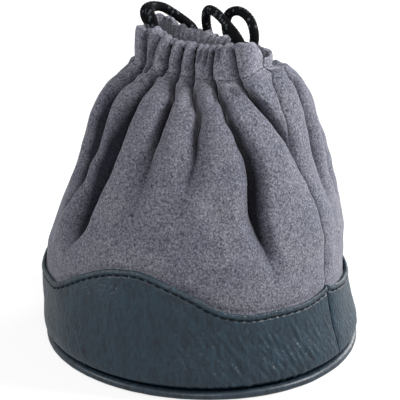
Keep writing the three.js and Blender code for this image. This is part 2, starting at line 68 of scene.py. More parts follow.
# Bead, cord and seams
BEAD_RADIUS = 0.0018
BEAD_CUT = 0.0001
FILLER_SHARE = 0.6
CORD_DIAMETER = 0.0032
SEAM_GAP = 0.0003

# Outside of the cloth wall: height, then how far the side and the front stand from the axis
WALL_PROFILE = [
    (0.0080, 0.0578, 0.0578),
    (0.0180, 0.0574, 0.0576),
    (0.0300, 0.0565, 0.0569),
    (0.0420, 0.0553, 0.0557),
    (0.0500, 0.0542, 0.0546),
    (0.0600, 0.0517, 0.0517),
    (0.0700, 0.0483, 0.0483),
    (0.0800, 0.0452, 0.0450),
    (0.0900, 0.0422, 0.0410),
    (0.0970, 0.0389, 0.0360),
    (0.1020, 0.0357, 0.0305),
    (0.1060, 0.0318, 0.0235),
    (0.1086, 0.0278, 0.0163),
    (0.1104, 0.0244, 0.0102),
]

# How far the pouch leans to the picture's right at each height
LEAN = [
    (0.0, -0.0003), (0.0040, -0.0004), (0.015, -0.0016), (0.030, -0.0029), (0.045, -0.0015),
    (0.060, -0.0002), (0.090, 0.0006), (0.125, 0.0006),
]

# Lower edge that is lifted and drawn in at the left front: middle angle, half its spread, how far up and in
LIFT_ANGLE = math.radians(-22)
LIFT_SPREAD = math.radians(96)
LIFT_HEIGHT = 0.0013
LIFT_IN = 0.0006
LIFT_REACHES = (0.036, 0.056)
LIFT_HEIGHTS = (0.014, 0.002)
LEAST_REACH = 0.001

# Hem round the slit mouth: half of its outline, with rounded corners
HEM_HALF_LENGTH = 0.0242
HEM_HALF_DEPTH = 0.0074
HEM_CORNER = 0.0032
HEM_OUTSIDE = {-1: 0.0040, 1: 0.0030}
HEM_END_THICKNESS = 0.0009
HEM_END_FADE = (0.0205, 0.0262)
HEM_SPREAD_FADE = (0.0215, 0.0268)
HEM_PINCH = 0.72
HEM_PINCH_RISE = 0.34
HEM_RISE_BEND = 0.55
HEM_SIDE_BEND = 0.6
HEM_CREST_SHARE = 0.4
HEM_FINE_RISE = 0.25
HEM_SWELL_SIZE = 0.006
HEM_SWELL_SEED = 14
HEM_SWELL_OUT = 0.00022
HEM_FINE_DEPTH = 0.0006
CREST_DIP = 1.0
PLEAT_SLOT_DEPTH = 0.5
PLEAT_START_SPAN = 0.3
PLEAT_SLOT_WIDTH = 0.0006
HEM_PLEAT_WIDTH = 0.0034
HEM_FINE_WIDTH = 0.0017

# Angle from the middle of the front or the rear, and how far along the hem's outline that is
HEM_TRACK = [
    (0, 0.0), (15, 0.0062), (30, 0.0120), (45, 0.0170), (60, 0.0208), (75, 0.0256), (90, 0.0302),
]

# The keys below are -1 for the front half and 1 for the rear half.
# How far the hem stands in from its middle line, by the distance along it
HEM_INSIDE = {
    -1: [
        (0, 0.0029), (0.0085, 0.0029), (0.0125, 0.0038), (0.0152, 0.0036), (0.0174, -0.0004),
        (0.0215, -0.0004), (0.0262, 0.0006), (0.0302, 0.0006),
    ],
    1: [
        (0, 0.0034), (0.0085, 0.0034), (0.0125, 0.0044), (0.0160, 0.0045), (0.0188, 0.0012),
        (0.0302, 0.0006),
    ],
}

# Along each hem from left to right: distance from its middle, height of its foot
HEM_FEET = {
    -1: [
        (-0.0302, 0.1106), (-0.0250, 0.1098), (-0.0200, 0.1092), (-0.0140, 0.1090), (0.0020, 0.1089),
        (0.0100, 0.1095), (0.0155, 0.1103), (0.0205, 0.1117), (0.0250, 0.1138), (0.0302, 0.1136),
    ],
    1: [
        (-0.0302, 0.1106), (-0.0200, 0.1102), (0.0180, 0.1102), (0.0240, 0.1116), (0.0302, 0.1140),
    ],
}

# Along each hem: distance from its middle, height of its crest
CRESTS = {
    -1: [
        (-0.0302, 0.1192), (-0.0290, 0.1206), (-0.0275, 0.1226), (-0.0250, 0.1233), (-0.0220, 0.1236),
        (-0.0171, 0.1243), (-0.0141, 0.1235), (-0.0119, 0.1224), (-0.0097, 0.1213), (-0.0058, 0.1207),
        (-0.0014, 0.1207), (0.0060, 0.1211), (0.0099, 0.1215), (0.0130, 0.1221), (0.0160, 0.1228),
        (0.0182, 0.1237), (0.0205, 0.1246), (0.0225, 0.1248), (0.0245, 0.1242), (0.0265, 0.1228),
        (0.0280, 0.1214), (0.0302, 0.1195),
    ],
    1: [
        (-0.0302, 0.1190), (-0.0285, 0.1200), (-0.0270, 0.1214), (-0.0250, 0.1232), (-0.0226, 0.1240),
        (-0.0200, 0.1231), (-0.0165, 0.1222), (-0.0132, 0.1213), (-0.0099, 0.1205), (-0.0065, 0.1209),
        (-0.0025, 0.1209), (0.0014, 0.1200), (0.0062, 0.1202), (0.0088, 0.1188), (0.0150, 0.1184),
        (0.0210, 0.1178), (0.0240, 0.1166), (0.0262, 0.1160), (0.0302, 0.1164),
    ],
}

# How far the ends of each hem's crest stand out from its foot: left, right
HEM_ENDS = {-1: (-0.0021, -0.0004), 1: (0.0000, 0.0008)}

# Creases of the gathered cloth, from the top down: height, angle in degrees,
# depth of the broad valley and of the narrow slot in its middle
CREASES = [
    [
        (0.1104, -54, 0.0016, 0.0008), (0.1090, -50, 0.0024, 0.0026), (0.1050, -46, 0.0034, 0.0046),
        (0.1000, -44, 0.0058, 0.0050), (0.0950, -41, 0.0080, 0.0050), (0.0880, -40, 0.0092, 0.0048),
        (0.0780, -43, 0.0090, 0.0040), (0.0700, -45, 0.0066, 0.0030), (0.0640, -47, 0.0036, 0.0018),
        (0.0560, -50, 0.0010, 0.0003), (0.0480, -52, 0.0, 0.0),
    ],
    [
        (0.1104, -26, 0.0016, 0.0008), (0.1090, -24.5, 0.0024, 0.0030), (0.1050, -22, 0.0034, 0.0050),
        (0.1000, -21, 0.0050, 0.0056), (0.0950, -21, 0.0064, 0.0058), (0.0890, -21.5, 0.0074, 0.0056),
        (0.0810, -23, 0.0078, 0.0050), (0.0670, -27, 0.0070, 0.0040), (0.0560, -30, 0.0050, 0.0022),
        (0.0500, -32, 0.0024, 0.0010), (0.0440, -34, 0.0, 0.0),
    ],
    [
        (0.1104, -12.7, 0.0016, 0.0008), (0.1090, -8, 0.0022, 0.0030), (0.1055, 1, 0.0030, 0.0048),
        (0.1030, 1.5, 0.0036, 0.0046), (0.0980, 2, 0.0040, 0.0024), (0.0930, 2, 0.0038, 0.0008),
        (0.0800, 1, 0.0028, 0.0), (0.0670, -1, 0.0012, 0.0), (0.0560, -2, 0.0, 0.0),
    ],
    [
        (0.1104, 2.4, 0.0016, 0.0008), (0.1085, 9, 0.0022, 0.0032), (0.1060, 17, 0.0030, 0.0048),
        (0.1025, 23, 0.0038, 0.0044), (0.0975, 24, 0.0040, 0.0022), (0.0900, 25, 0.0034, 0.0004),
        (0.0800, 23, 0.0024, 0.0), (0.0700, 20, 0.0010, 0.0), (0.0620, 19, 0.0, 0.0),
    ],
    [
        (0.1104, 20.5, 0.0016, 0.0008), (0.1092, 27, 0.0024, 0.0034), (0.1055, 38, 0.0034, 0.0052),
        (0.1010, 42, 0.0040, 0.0064), (0.0970, 47, 0.0044, 0.0068), (0.0925, 50, 0.0048, 0.0070),
        (0.0880, 53, 0.0050, 0.0068), (0.0800, 55, 0.0050, 0.0058), (0.0700, 54, 0.0048, 0.0038),
        (0.0630, 55, 0.0044, 0.0018), (0.0550, 58, 0.0032, 0.0004), (0.0480, 60, 0.0014, 0.0),
        (0.0410, 61, 0.0, 0.0),
    ],
    [
        (0.1104, 56, 0.0014, 0.0010), (0.1075, 60, 0.0024, 0.0042), (0.1040, 65, 0.0030, 0.0048),
        (0.1000, 70, 0.0032, 0.0046), (0.0960, 74, 0.0032, 0.0034), (0.0900, 79, 0.0026, 0.0014),
        (0.0820, 82, 0.0014, 0.0), (0.0740, 84, 0.0, 0.0),
    ],
]

# Slopes of each crease: shares of the plain width at its left and right, share of the plain bend at its left
SLOPE_SHARES = [
    (1.2, 0.80, 0.58), (1.2, 0.80, 0.66), (1.0, 0.9, 0.85), (1.0, 1.0, 1.0), (1.0, 0.66, 1.0),
    (1.0, 0.9, 1.0),
]

# Creases out of the photograph's sight, which run alike:
# angle at the neck, angle low down, share of the depth
PLAIN_CREASES = [
    (-74, -79, 0.6), (104, 101, 0.8), (124, 119, 0.9), (146, 142, 0.9), (164, 164, 0.9),
    (190.5, 189.5, 0.6), (221, 215, 0.9), (240, 241, 0.9), (258, 259, 0.8),
]
PLAIN_TRACK = [
    (0.1104, 0.0, 0.0016, 0.0008), (0.1085, 0.0, 0.0024, 0.0024), (0.1060, 0.1, 0.0030, 0.0032),
    (0.1000, 0.3, 0.0038, 0.0032), (0.0880, 0.6, 0.0042, 0.0024), (0.0780, 0.8, 0.0038, 0.0012),
    (0.0680, 1.0, 0.0026, 0.0004), (0.0560, 1.0, 0.0008, 0.0), (0.0480, 1.0, 0.0, 0.0),
]

# Widths, bends and painted shades of the creases
BROAD_HALF_WIDTH = 0.0095
CREASE_FULL_ARC = 0.0505
CREASE_NARROWING = (0.30, 1.1)
CREASE_BEND = 1.7
CREASE_BEND_MORE = 0.9
CREASE_BEND_HEIGHTS = (0.080, 0.100)
SLOT_HALF_WIDTH = 0.0009
SLOT_WIDENING = 1.1
SLOT_WIDE_HEIGHTS = (0.088, 0.066)
SLOT_BEND = 1.6
SLOT_DEPTH = 1.25
# Painted shade in the suede's colour: crease depth painted darkest, painted level of plain cloth, painted
# shade on the left crease slopes and inside
PAINTED_SHADE_DEPTH = 0.0088
HEM_PAINTED_SHADE_DEPTH = 0.0046
PLAIN_PAINTED_SHADE = 0.2
SLOPE_SHADE = 0.24
SLOPE_SHADE_OFFSET = 0.0032
SLOPE_SHADE_REACH = 0.0056
SLOPE_SHADE_DEPTH = 0.0080
SLOPE_SHADE_FULL = 0.8
SLOPE_SHADE_HEIGHTS = (0.058, 0.080)
INSIDE_PAINTED_SHADE = 0.45
SHORT_CREASE_WIDTH = 0.0041
SHORT_CREASE_HEIGHTS = (0.1000, 0.1085)

# Short creases that run on from the hem's pleats: angle, depth
SHORT_CREASES = [
    (-45, 0.0022), (15.5, 0.0014), (31, 0.0016), (-66, 0.0016), (112, 0.0016), (135, 0.0018),
    (155, 0.0018), (178, 0.0012), (204, 0.0012), (230, 0.0018), (250, 0.0016),
]

# Fuller shoulder at the right of the rear: middle angle, half its spread in degrees, how far it stands out
SHOULDER_ANGLE = 122
SHOULDER_SPREAD = 46
SHOULDER_OUT = 0.0042
SHOULDER_RISE_SHARES = (0.68, 0.88)
SHOULDER_FALL_SHARES = (1.0, 0.92)

# Pleats of the hems: distance along the hem at its foot, the same at its crest, depth,
# share of the hem's height where it starts
PLEATS = {
    -1: [
        (-0.0196, -0.0182, 0.0023, 0.0), (-0.0170, -0.0126, 0.0018, 0.0), (-0.0106, -0.0080, 0.0024, 0.0),
        (-0.0052, -0.0027, 0.0023, 0.0), (0.0009, 0.0022, 0.0023, 0.0), (0.0036, 0.0050, 0.0013, 0.30),
        (0.0060, 0.0073, 0.0016, 0.15), (0.0084, 0.0099, 0.0023, 0.0), (0.0116, 0.0123, 0.0014, 0.35),
        (0.0198, 0.0175, 0.0022, 0.0),
    ],
    1: [
        (-0.0264, -0.0258, 0.0008, 0.0), (-0.0208, -0.0212, 0.0016, 0.0), (-0.0157, -0.0150, 0.0018, 0.0),
        (-0.0118, -0.0112, 0.0012, 0.2), (-0.0088, -0.0082, 0.0016, 0.1), (-0.0043, -0.0046, 0.0019, 0.0),
        (-0.0008, -0.0004, 0.0012, 0.1), (0.0026, 0.0022, 0.0014, 0.2), (0.0065, 0.0068, 0.0019, 0.0),
        (0.0098, 0.0104, 0.0013, 0.1), (0.0133, 0.0128, 0.0018, 0.0), (0.0165, 0.0160, 0.0012, 0.2),
        (0.0198, 0.0200, 0.0017, 0.0),
    ],
}
LINING_PLEATS = {
    -1: [
        -0.0212, -0.0190, -0.0166, -0.0138, -0.0117, -0.0092, -0.0066, -0.0041, -0.0012, 0.0013, 0.0040,
        0.0064, 0.0088, 0.0117, 0.0144,
    ],
    1: [
        -0.0212, -0.0194, -0.0170, -0.0156, -0.0134, -0.0116, -0.0090, -0.0064, -0.0034, -0.0007, 0.0015,
        0.0037, 0.0062, 0.0088, 0.0112, 0.0138,
    ],
}

# Routes of the free strands, from beside the hem's end to the knot
RIGHT_FRONT_ROUTE = [
    (0.0184, -0.0022, 0.1086), (0.0184, -0.0022, 0.1130), (0.0183, -0.0022, 0.1175),
    (0.0172, -0.0020, 0.1214), (0.0146, -0.0012, 0.1242), (0.0106, 0.0006, 0.1264),
    (0.0062, 0.0030, 0.1282), (0.0018, 0.0056, 0.1290), (-0.0019, 0.0082, 0.1283),
    (-0.0042, 0.0104, 0.1256), (-0.0052, 0.0122, 0.1212), (-0.0054, 0.0144, 0.1164),
    (-0.0052, 0.0186, 0.1124), (-0.0046, 0.0250, 0.1088), (-0.0038, 0.0320, 0.1042),
    (-0.0030, 0.0382, 0.0982), (-0.0022, 0.0430, 0.0910), (-0.0014, 0.0474, 0.0830),
    (-0.0005, 0.0516, 0.0750), (0.00025, 0.0542, 0.0675),
]
RIGHT_BACK_ROUTE = [
    (0.0184, 0.0022, 0.1086), (0.0186, 0.0022, 0.1126), (0.0196, 0.0022, 0.1166), (0.0206, 0.0020, 0.1206),
    (0.0206, 0.0022, 0.1246), (0.0184, 0.0036, 0.1284), (0.0144, 0.0058, 0.1302), (0.0098, 0.0082, 0.1298),
    (0.0058, 0.0102, 0.1276), (0.0037, 0.0116, 0.1242), (0.0031, 0.0128, 0.1198), (0.0033, 0.0152, 0.1152),
    (0.0037, 0.0196, 0.1116), (0.0041, 0.0258, 0.1084), (0.0044, 0.0326, 0.1038), (0.0045, 0.0386, 0.0976),
    (0.0045, 0.0433, 0.0904), (0.0043, 0.0476, 0.0826), (0.0040, 0.0517, 0.0748),
    (0.00375, 0.0542, 0.0675),
]
LEFT_FRONT_ROUTE = [
    (-0.0184, -0.0022, 0.1086), (-0.0185, -0.0022, 0.1128), (-0.0186, -0.0027, 0.1168),
    (-0.0186, -0.0028, 0.1207), (-0.0198, -0.0019, 0.1240), (-0.0222, -0.0001, 0.1261),
    (-0.0238, 0.0027, 0.1268), (-0.0241, 0.0062, 0.1265), (-0.0227, 0.0096, 0.1257),
    (-0.0201, 0.0120, 0.1235), (-0.0166, 0.0136, 0.1209), (-0.0142, 0.0166, 0.1174),
    (-0.0137, 0.0200, 0.1128), (-0.0134, 0.0252, 0.1085), (-0.0134, 0.0310, 0.1038),
    (-0.0134, 0.0368, 0.0979), (-0.0135, 0.0418, 0.0905), (-0.0135, 0.0460, 0.0828),
    (-0.0136, 0.0498, 0.0760), (-0.01375, 0.0518, 0.0695),
]
LEFT_BACK_ROUTE = [
    (-0.0184, 0.0022, 0.1086), (-0.0190, 0.0020, 0.1124), (-0.0198, 0.0010, 0.1166),
    (-0.0218, 0.0003, 0.1205), (-0.0247, 0.0011, 0.1232), (-0.0270, 0.0038, 0.1248),
    (-0.0277, 0.0073, 0.1255), (-0.0267, 0.0108, 0.1252), (-0.0242, 0.0136, 0.1240),
    (-0.0211, 0.0153, 0.1218), (-0.0183, 0.0173, 0.1191), (-0.0169, 0.0206, 0.1161),
    (-0.0170, 0.0238, 0.1118), (-0.0176, 0.0275, 0.1071), (-0.0174, 0.0325, 0.1024),
    (-0.0175, 0.0370, 0.0961), (-0.0174, 0.0412, 0.0888), (-0.0173, 0.0456, 0.0820),
    (-0.0173, 0.0497, 0.0760), (-0.01725, 0.0518, 0.0695),
]

# Band and bead
FRONT_EDGE = [
    (-90, 0.0326), (-75, 0.0320), (-58, 0.0318), (-48, 0.0322), (-40, 0.0327), (-35, 0.0330),
    (-32, 0.0340), (-27, 0.0367), (-19, 0.0415), (-12, 0.0449), (-5, 0.0475), (2, 0.0487), (6, 0.0489),
    (12, 0.0480), (18, 0.0461), (24, 0.0437), (31, 0.0403), (36, 0.0375), (42, 0.0349), (47, 0.0336),
    (52, 0.0329), (58, 0.0326), (67, 0.0323), (75, 0.0320), (80, 0.0321), (86, 0.0326), (90, 0.0332),
]
BACK_EDGE = [
    (90, 0.0332), (95, 0.0320), (101, 0.0308), (110, 0.0292), (120, 0.0274), (132, 0.0286), (145, 0.0338),
    (152, 0.0375), (160, 0.0418), (168, 0.0455), (176, 0.0480), (184, 0.0488), (192, 0.0481),
    (200, 0.0456), (208, 0.0420), (216, 0.0378), (224, 0.0345), (232, 0.0328), (244, 0.0322),
    (258, 0.0322), (270, 0.0326),
]
BAND_OUT = 0.0013
BAND_BULGE = 0.0011
BAND_BULGE_HEIGHT = 0.0090
BAND_BULGE_SPREAD = 0.0070
BAND_THICKNESS = 0.0011
BAND_PRESS = 0.0003
BAND_TUCK = 0.0023
BAND_TUCK_HEIGHT = 0.0030
BAND_SEAM_GAP = 0.0006
BAND_COLUMNS = 420
GROOVE_DEPTH = 0.00042
GROOVE_HALF_WIDTH = 0.00045
EDGE_STRIP = 0.0048
EDGE_PUFF = 0.00034
EDGE_FLARE = 0.0001
EDGE_PUFF_SHARE = 0.32
FLARE_ANGLES = (math.radians(50), math.radians(85))
FLARE_REACH = 0.009
WRINKLE_HEIGHT = 0.00022
WRINKLE_SIZE = 0.0026
WRINKLE_SEED = 31
WRINKLE_WAVES = 26
WRINKLE_SLANT = 0.42
WRINKLE_STRETCH = 0.30
WRINKLE_SHARE = 0.25
WRINKLE_START = (math.radians(20), math.radians(45))
WRINKLE_END = (math.radians(88), math.radians(62))
WRINKLE_FADE = (0.032, 0.020)
BAND_SWELL_SIZE = 0.024
BAND_SWELL_SEED = 32
BAND_SWELL_OUT = 0.00022
BAND_SWELL_HEIGHTS = (0.004, 0.010)
BAND_INSIDE_FADE = 0.012
SEAM_ROLL = 0.0011
SEAM_ROLL_WIDTH = 0.0008
SEAM_ROLL_HEIGHTS = (0.005, 0.012)
STITCH_DROP = 0.0023
STITCH_PITCH = 0.0033
STITCH_LENGTH = 0.0024
STITCH_RADIUS = 0.00027
STITCH_POINTS = 9
STITCH_SIDES = 8
HEM_STITCH_RADIUS = 0.00020
FLOOR_CLEARANCE = 0.00002

# Turned pieces inside: the hole round the axis, rounded corners and bevels
DISC_AXIS = 0.0004
RIPPLE_START = 0.003
UNDERSIDE_LIP = [(0.0003, 0.0005), (-0.0006, 0.00012)]
UNDERSIDE_DIP_SHARE = 0.5
UNDERSIDE_DIP = 0.00035
UNDERSIDE_MIDDLE = 0.0005
FOAM_INSET = 0.0014
FOAM_CROWN_SHARE = 0.1
FOAM_FLAT_SHARE = 0.6
FOAM_TOP_ROUND = 0.0010
FOAM_FOOT_ROUND = 0.0008
FOAM_LINING_GAP = 0.0002
FOAM_FOOT_BEVEL = 0.001
FOAM_TOP_BEVEL = 0.002
FOAM_OUT_BEVEL = 0.0006
FOAM_IN_BEVEL = 0.0004
LINING_BEVEL = 0.0004
LINING_EDGE = 0.0003
LINING_THICKNESS = 0.0006

# Free cloth
PANEL_THICKNESS = 0.0009
EDGE_PRESS = 0.0006
EDGE_PRESS_WIDTH = 0.0012
HALVES = [("front", -1), ("back", 1)]
SEAM_SWING = math.radians(9)
SEAM_SWING_HEIGHTS = (0.045, 0.095)
SEAM_RETURN_HEIGHTS = (0.1105, 0.1060)
SEAM_DEPTH = 0.0007
SEAM_WIDTH = 0.0009
SEAM_HEIGHTS = (0.030, 0.040)
CREASE_FADE_BELOW = 0.001
CREASE_FADE_ABOVE = 0.009
GATHER_SHARES = (0.80, 1.0)
TURN_IN_SHARES = (0.955, 1.0)
INTO_HEM_SHARES = (0.945, 0.995)
SWELL_END_SHARES = (1.0, 0.97)
GATHER_STRETCH = (1, 0.35, 0.35)
GATHER_SIZE = 0.0042
GATHER_SEED = 8
GATHER_OUT = 0.0004
GATHER_RISE_SHARES = (0.86, 0.95)
PUFF_OUT = 0.0012
PUFF_SHARE = 0.955
PUFF_SPREAD = 0.018

# Soft swells of the wall: size, seed, how far they stand out
WALL_SWELLS = [(0.034, 3, 0.00055), (0.012, 4, 0.00022)]

# Rows and columns of the cloth
SHEET_COLUMNS = 350
COLUMN_CROWD = 2.2
COLUMN_CROWD_WIDTH = 0.055
COLUMN_MARGIN = math.radians(3)
PANEL_ROWS = 181
INSIDE_STEP = 4
HEM_ROWS = 44
HEM_STITCH_ROW = PANEL_ROWS - 3


# Colours
SUEDE_DARK = (0.062, 0.062, 0.078)
SUEDE_MID = (0.143, 0.145, 0.175)
SUEDE_LIGHT = (0.264, 0.264, 0.308)
BAND_DARK = (0.004, 0.010, 0.019)
BAND_LIGHT = (0.012, 0.033, 0.052)

# Stage and lamps
FLOOR_HALF_SIZE = 4.0
FLOOR_GREY = 0.35
FLOOR_SEEN = 0.8
FLOOR_GLOSS = 0.45
WORLD_LIGHT = 0.10
WORLD_GLOSS = 0.6
LAMP_AIM_HEIGHT = 0.06

# Lamps: name, turn from the front towards +X and rise in degrees, distance, size, power
LAMPS = [
    ("key_lamp", 114, 32, 1.2, 0.45, 18.5),
    ("fill_lamp", -45, 24, 1.2, 0.5, 6),
    ("front_lamp", 30, 26, 1.2, 0.5, 5),
    ("side_lamp", 165, 14, 1.2, 0.6, 9),
]


# Numbers
def ease(low, high, value):
    share = np.clip((value - low) / (high - low), 0, 1)
    return share * share * (3 - 2 * share)


def curve(value, places, heights):
    """Smooth line through a table's points, without overshoot."""
    xs, ys = np.asarray(places, float), np.asarray(heights, float)
    step = np.diff(xs)
    slope = np.diff(ys) / step
    tangent = np.concatenate([slope[:1], np.zeros(len(xs) - 2), slope[-1:]])
    same = slope[:-1] * slope[1:] > 0
    before, after = 2 * step[1:] + step[:-1], step[1:] + 2 * step[:-1]
    safe = np.where(slope == 0, 1, slope)
    weights = np.where(same, before / safe[:-1] + after / safe[1:], 1)
    tangent[1:-1] = np.where(same, (before + after) / weights, 0)
    value = np.asarray(value, float)
    k = np.clip(np.searchsorted(xs, value, side="right") - 1, 0, len(xs) - 2)
    t = np.clip((value - xs[k]) / step[k], 0, 1)
    return ((1 + 2 * t) * (1 - t) ** 2 * ys[k] + t * (1 - t) ** 2 * step[k] * tangent[k]
            + t * t * (3 - 2 * t) * ys[k + 1] + t * t * (t - 1) * step[k] * tangent[k + 1])


def unit(vectors):
    return vectors / np.maximum(np.linalg.norm(vectors, axis=-1, keepdims=True), 1e-12)


def wrapped(angle):
    """The same angle, between minus and plus half a turn."""
    return np.arctan2(np.sin(angle), np.cos(angle))


def distances(path):
    """Distance travelled along a path at each of its points."""
    return np.concatenate([[0], np.cumsum(np.linalg.norm(np.diff(path, axis=0), axis=1))])


def at_distances(where, travelled, points):
    return np.stack([np.interp(where, travelled, column) for column in points.T], -1)


def soft_noise(points, size, seed, waves=14):
    """Gentle random swell of height about 1, with bumps of about that size."""
    random = np.random.default_rng(seed)
    total = np.zeros(points.shape[:-1])
    for _ in range(waves):
        direction = unit(random.normal(size=3))
        stretch = random.uniform(0.7, 1.5)
        total += np.sin(points @ direction * (2 * math.pi * stretch / size) + random.uniform(0, 2 * math.pi))
    return total / math.sqrt(waves)


# Meshes
def make_piece(name, points, faces, material):
    """Object from points and faces, with its faces turned out when it is closed."""
    points = np.asarray(points, float)
    volume = 0.0
    by_size = {}
    for face in faces:
        by_size.setdefault(len(face), []).append(face)
    for size, group in by_size.items():
        corners = points[np.array(group)]
        for k in range(1, size - 1):
            volume += np.einsum("ij,ij->i", corners[:, 0], np.cross(corners[:, k], corners[:, k + 1])).sum()
    if volume < 0:
        faces = [tuple(reversed(face)) for face in faces]
    mesh = bpy.data.meshes.new(name)
    mesh.from_pydata(points.tolist(), [], faces)
    mesh.polygons.foreach_set("use_smooth", np.full(len(mesh.polygons), True))
    mesh.materials.append(material)
    mesh.update()
    piece = bpy.data.objects.new(name, mesh)
    bpy.context.scene.collection.objects.link(piece)
    return piece


def grid_faces(rows, columns, first=0, around=False, rings=False):
    index = first + np.arange(rows * columns).reshape(rows, columns)
    if around:
        index = np.hstack([index, index[:, :1]])
    if rings:
        index = np.vstack([index, index[:1]])
    quads = np.stack([index[:-1, :-1], index[:-1, 1:], index[1:, 1:], index[1:, :-1]], -1)
    return [tuple(quad) for quad in quads.reshape(-1, 4).tolist()]


def settle(piece, node_name):
    """A piece of the pouch's own body: the node it replaces."""
    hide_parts(node_name)
    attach(piece, "pouch")


def merge(parts):
    """Points and faces of several meshes as one."""
    points, faces, first = [], [], 0
    for part_points, part_faces in parts:
        points.append(part_points)
        faces += [tuple(first + k for k in face) for face in part_faces]
        first += len(part_points)
    return np.concatenate(points), faces


# Materials
def new_material(name, colour, roughness):
    material = bpy.data.materials.new(name)
    material.use_nodes = True
    shader = material.node_tree.nodes["Principled BSDF"]
    shader.inputs["Base Color"].default_value = (*colour, 1)
    shader.inputs["Roughness"].default_value = roughness
    return material, material.node_tree, shader


def node(tree, kind, links=(), **values):
    made = tree.nodes.new(kind)
    for key, value in values.items():
        if hasattr(made, key):
            setattr(made, key, value)
        else:
            made.inputs[key.replace("_", " ")].default_value = value
    for socket, source in links:
        tree.links.new(source, made.inputs[socket])
    return made


def ramp(tree, source, stops):
    made = node(tree, "ShaderNodeValToRGB", [("Fac", source)])
    while len(made.color_ramp.elements) < len(stops):
        made.color_ramp.elements.new(0.5)
    for element, (place, colour) in zip(made.color_ramp.elements, stops):
        element.position = place
        element.color = (*colour, 1)
    return made.outputs["Color"]


def noise(tree, place, scale, detail=3.0, roughness=0.5, distortion=0.0):
    made = node(tree, "ShaderNodeTexNoise", [("Vector", place)], Scale=scale, Detail=detail,
                Roughness=roughness, Distortion=distortion)
    return made.outputs["Fac"]


def math_node(tree, operation, first, second):
    made = node(tree, "ShaderNodeMath", operation=operation)
    for socket, value in zip(made.inputs, (first, second)):
        if isinstance(value, (int, float)):
            socket.default_value = value
        else:
            tree.links.new(value, socket)
    return made.outputs["Value"]


def mix_colour(tree, share, first, second, mode="MIX"):
    made = node(tree, "ShaderNodeMix", data_type="RGBA", blend_type=mode)
    for socket, value in ((made.inputs["Factor"], share), (made.inputs[6], first), (made.inputs[7], second)):
        if isinstance(value, (int, float)):
            socket.default_value = value
        elif isinstance(value, tuple):
            socket.default_value = (*value, 1)
        else:
            tree.links.new(value, socket)
    return made.outputs[2]


def bump(tree, shader, height, distance, strength=1.0, below=None):
    links = [("Height", height)]
    if below is not None:
        links.append(("Normal", below))
    made = node(tree, "ShaderNodeBump", links, Distance=distance, Strength=strength)
    tree.links.new(made.outputs["Normal"], shader.inputs["Normal"])
    return made.outputs["Normal"]


def suede_material():
    material, tree, shader = new_material("suede", (0.2, 0.2, 0.24), 0.92)
    place = node(tree, "ShaderNodeTexCoord").outputs["Object"]
    # Painted shading kept in the cloth's mesh
    painted_shading = node(tree, "ShaderNodeAttribute", attribute_name="painted_shading").outputs["Fac"]
    grain = noise(tree, place, 1500, 2.0, 0.6)
    specks = noise(tree, place, 900, 2.0, 0.6, 0.4)
    patches = noise(tree, place, 70, 3.0, 0.55, 0.6)
    base = ramp(tree, grain, [(0.30, SUEDE_DARK), (0.50, SUEDE_MID), (0.70, SUEDE_LIGHT)])
    darker = ramp(tree, specks, [(0.32, (0.50, 0.50, 0.52)), (0.46, (1, 1, 1))])
    warmer = ramp(tree, patches, [(0.3, (0.88, 0.90, 0.94)), (0.7, (1.09, 1.07, 1.05))])
    tinted = mix_colour(tree, 1.0, base, darker, "MULTIPLY")
    # Painted light and shade: colour lightened on the hem's plain rolls, darkened in creases, pleats and
    # inside
    painted_light_and_shade = ramp(tree, painted_shading, [(0.0, (1.50, 1.48, 1.46)), (0.2, (1.12, 1.12, 1.12)),
                               (0.40, (0.84, 0.84, 0.87)), (0.75, (0.10, 0.10, 0.13))])
    coloured = mix_colour(tree, 1.0, tinted, warmer, "MULTIPLY")
    coloured = mix_colour(tree, 1.0, coloured, painted_light_and_shade, "MULTIPLY")
    tree.links.new(coloured, shader.inputs["Base Color"])
    shader.inputs["Specular IOR Level"].default_value = 0.15
    shader.inputs["Sheen Weight"].default_value = 0.45
    shader.inputs["Sheen Roughness"].default_value = 0.35
    shader.inputs["Sheen Tint"].default_value = (0.75, 0.76, 0.85, 1)
    below = bump(tree, shader, specks, 0.0005, 0.5)
    bump(tree, shader, grain, 0.00025, 0.6, below)
    return material


def leather_material(name, dark, light, wrinkles=1.0):
    material, tree, shader = new_material(name, light, 0.5)
    place = node(tree, "ShaderNodeTexCoord").outputs["Object"]
    cells = node(tree, "ShaderNodeTexVoronoi", [("Vector", place)], feature="SMOOTH_F1", Scale=820.0,
                 Smoothness=0.5)
    slanted = node(tree, "ShaderNodeMapping", [("Vector", place)])
    slanted.inputs["Rotation"].default_value = (0, math.radians(28), 0)
    slanted.inputs["Scale"].default_value = (1.0, 1.0, 0.34)
    lines = noise(tree, slanted.outputs["Vector"], 520, 3.0, 0.55, 1.2)
    fine = noise(tree, place, 2200, 2.0, 0.5)
    broad = noise(tree, place, 60, 2.0, 0.5)
    colour = ramp(tree, lines, [(0.32, dark), (0.62, light)])
    shade = ramp(tree, broad, [(0.3, (0.94, 0.94, 0.94)), (0.7, (1.05, 1.05, 1.05))])
    tree.links.new(mix_colour(tree, 1.0, colour, shade, "MULTIPLY"), shader.inputs["Base Color"])
    tree.links.new(ramp(tree, fine, [(0.3, (0.34,) * 3), (0.7, (0.48,) * 3)]), shader.inputs["Roughness"])
    shader.inputs["Specular IOR Level"].default_value = 0.4
    pebbles = bump(tree, shader, cells.outputs["Distance"], 0.00030 * wrinkles, 0.6)
    bump(tree, shader, lines, 0.0008 * wrinkles, 0.6, pebbles)
    return material


def cloth_material(name, dark, light, scale, roughness=0.9):
    material, tree, shader = new_material(name, light, roughness)
    place = node(tree, "ShaderNodeTexCoord").outputs["Object"]
    grain = noise(tree, place, scale, 3.0, 0.6)
    tree.links.new(ramp(tree, grain, [(0.35, dark), (0.65, light)]), shader.inputs["Base Color"])
    shader.inputs["Specular IOR Level"].default_value = 0.2
    bump(tree, shader, grain, 0.0003, 0.6)
    return material


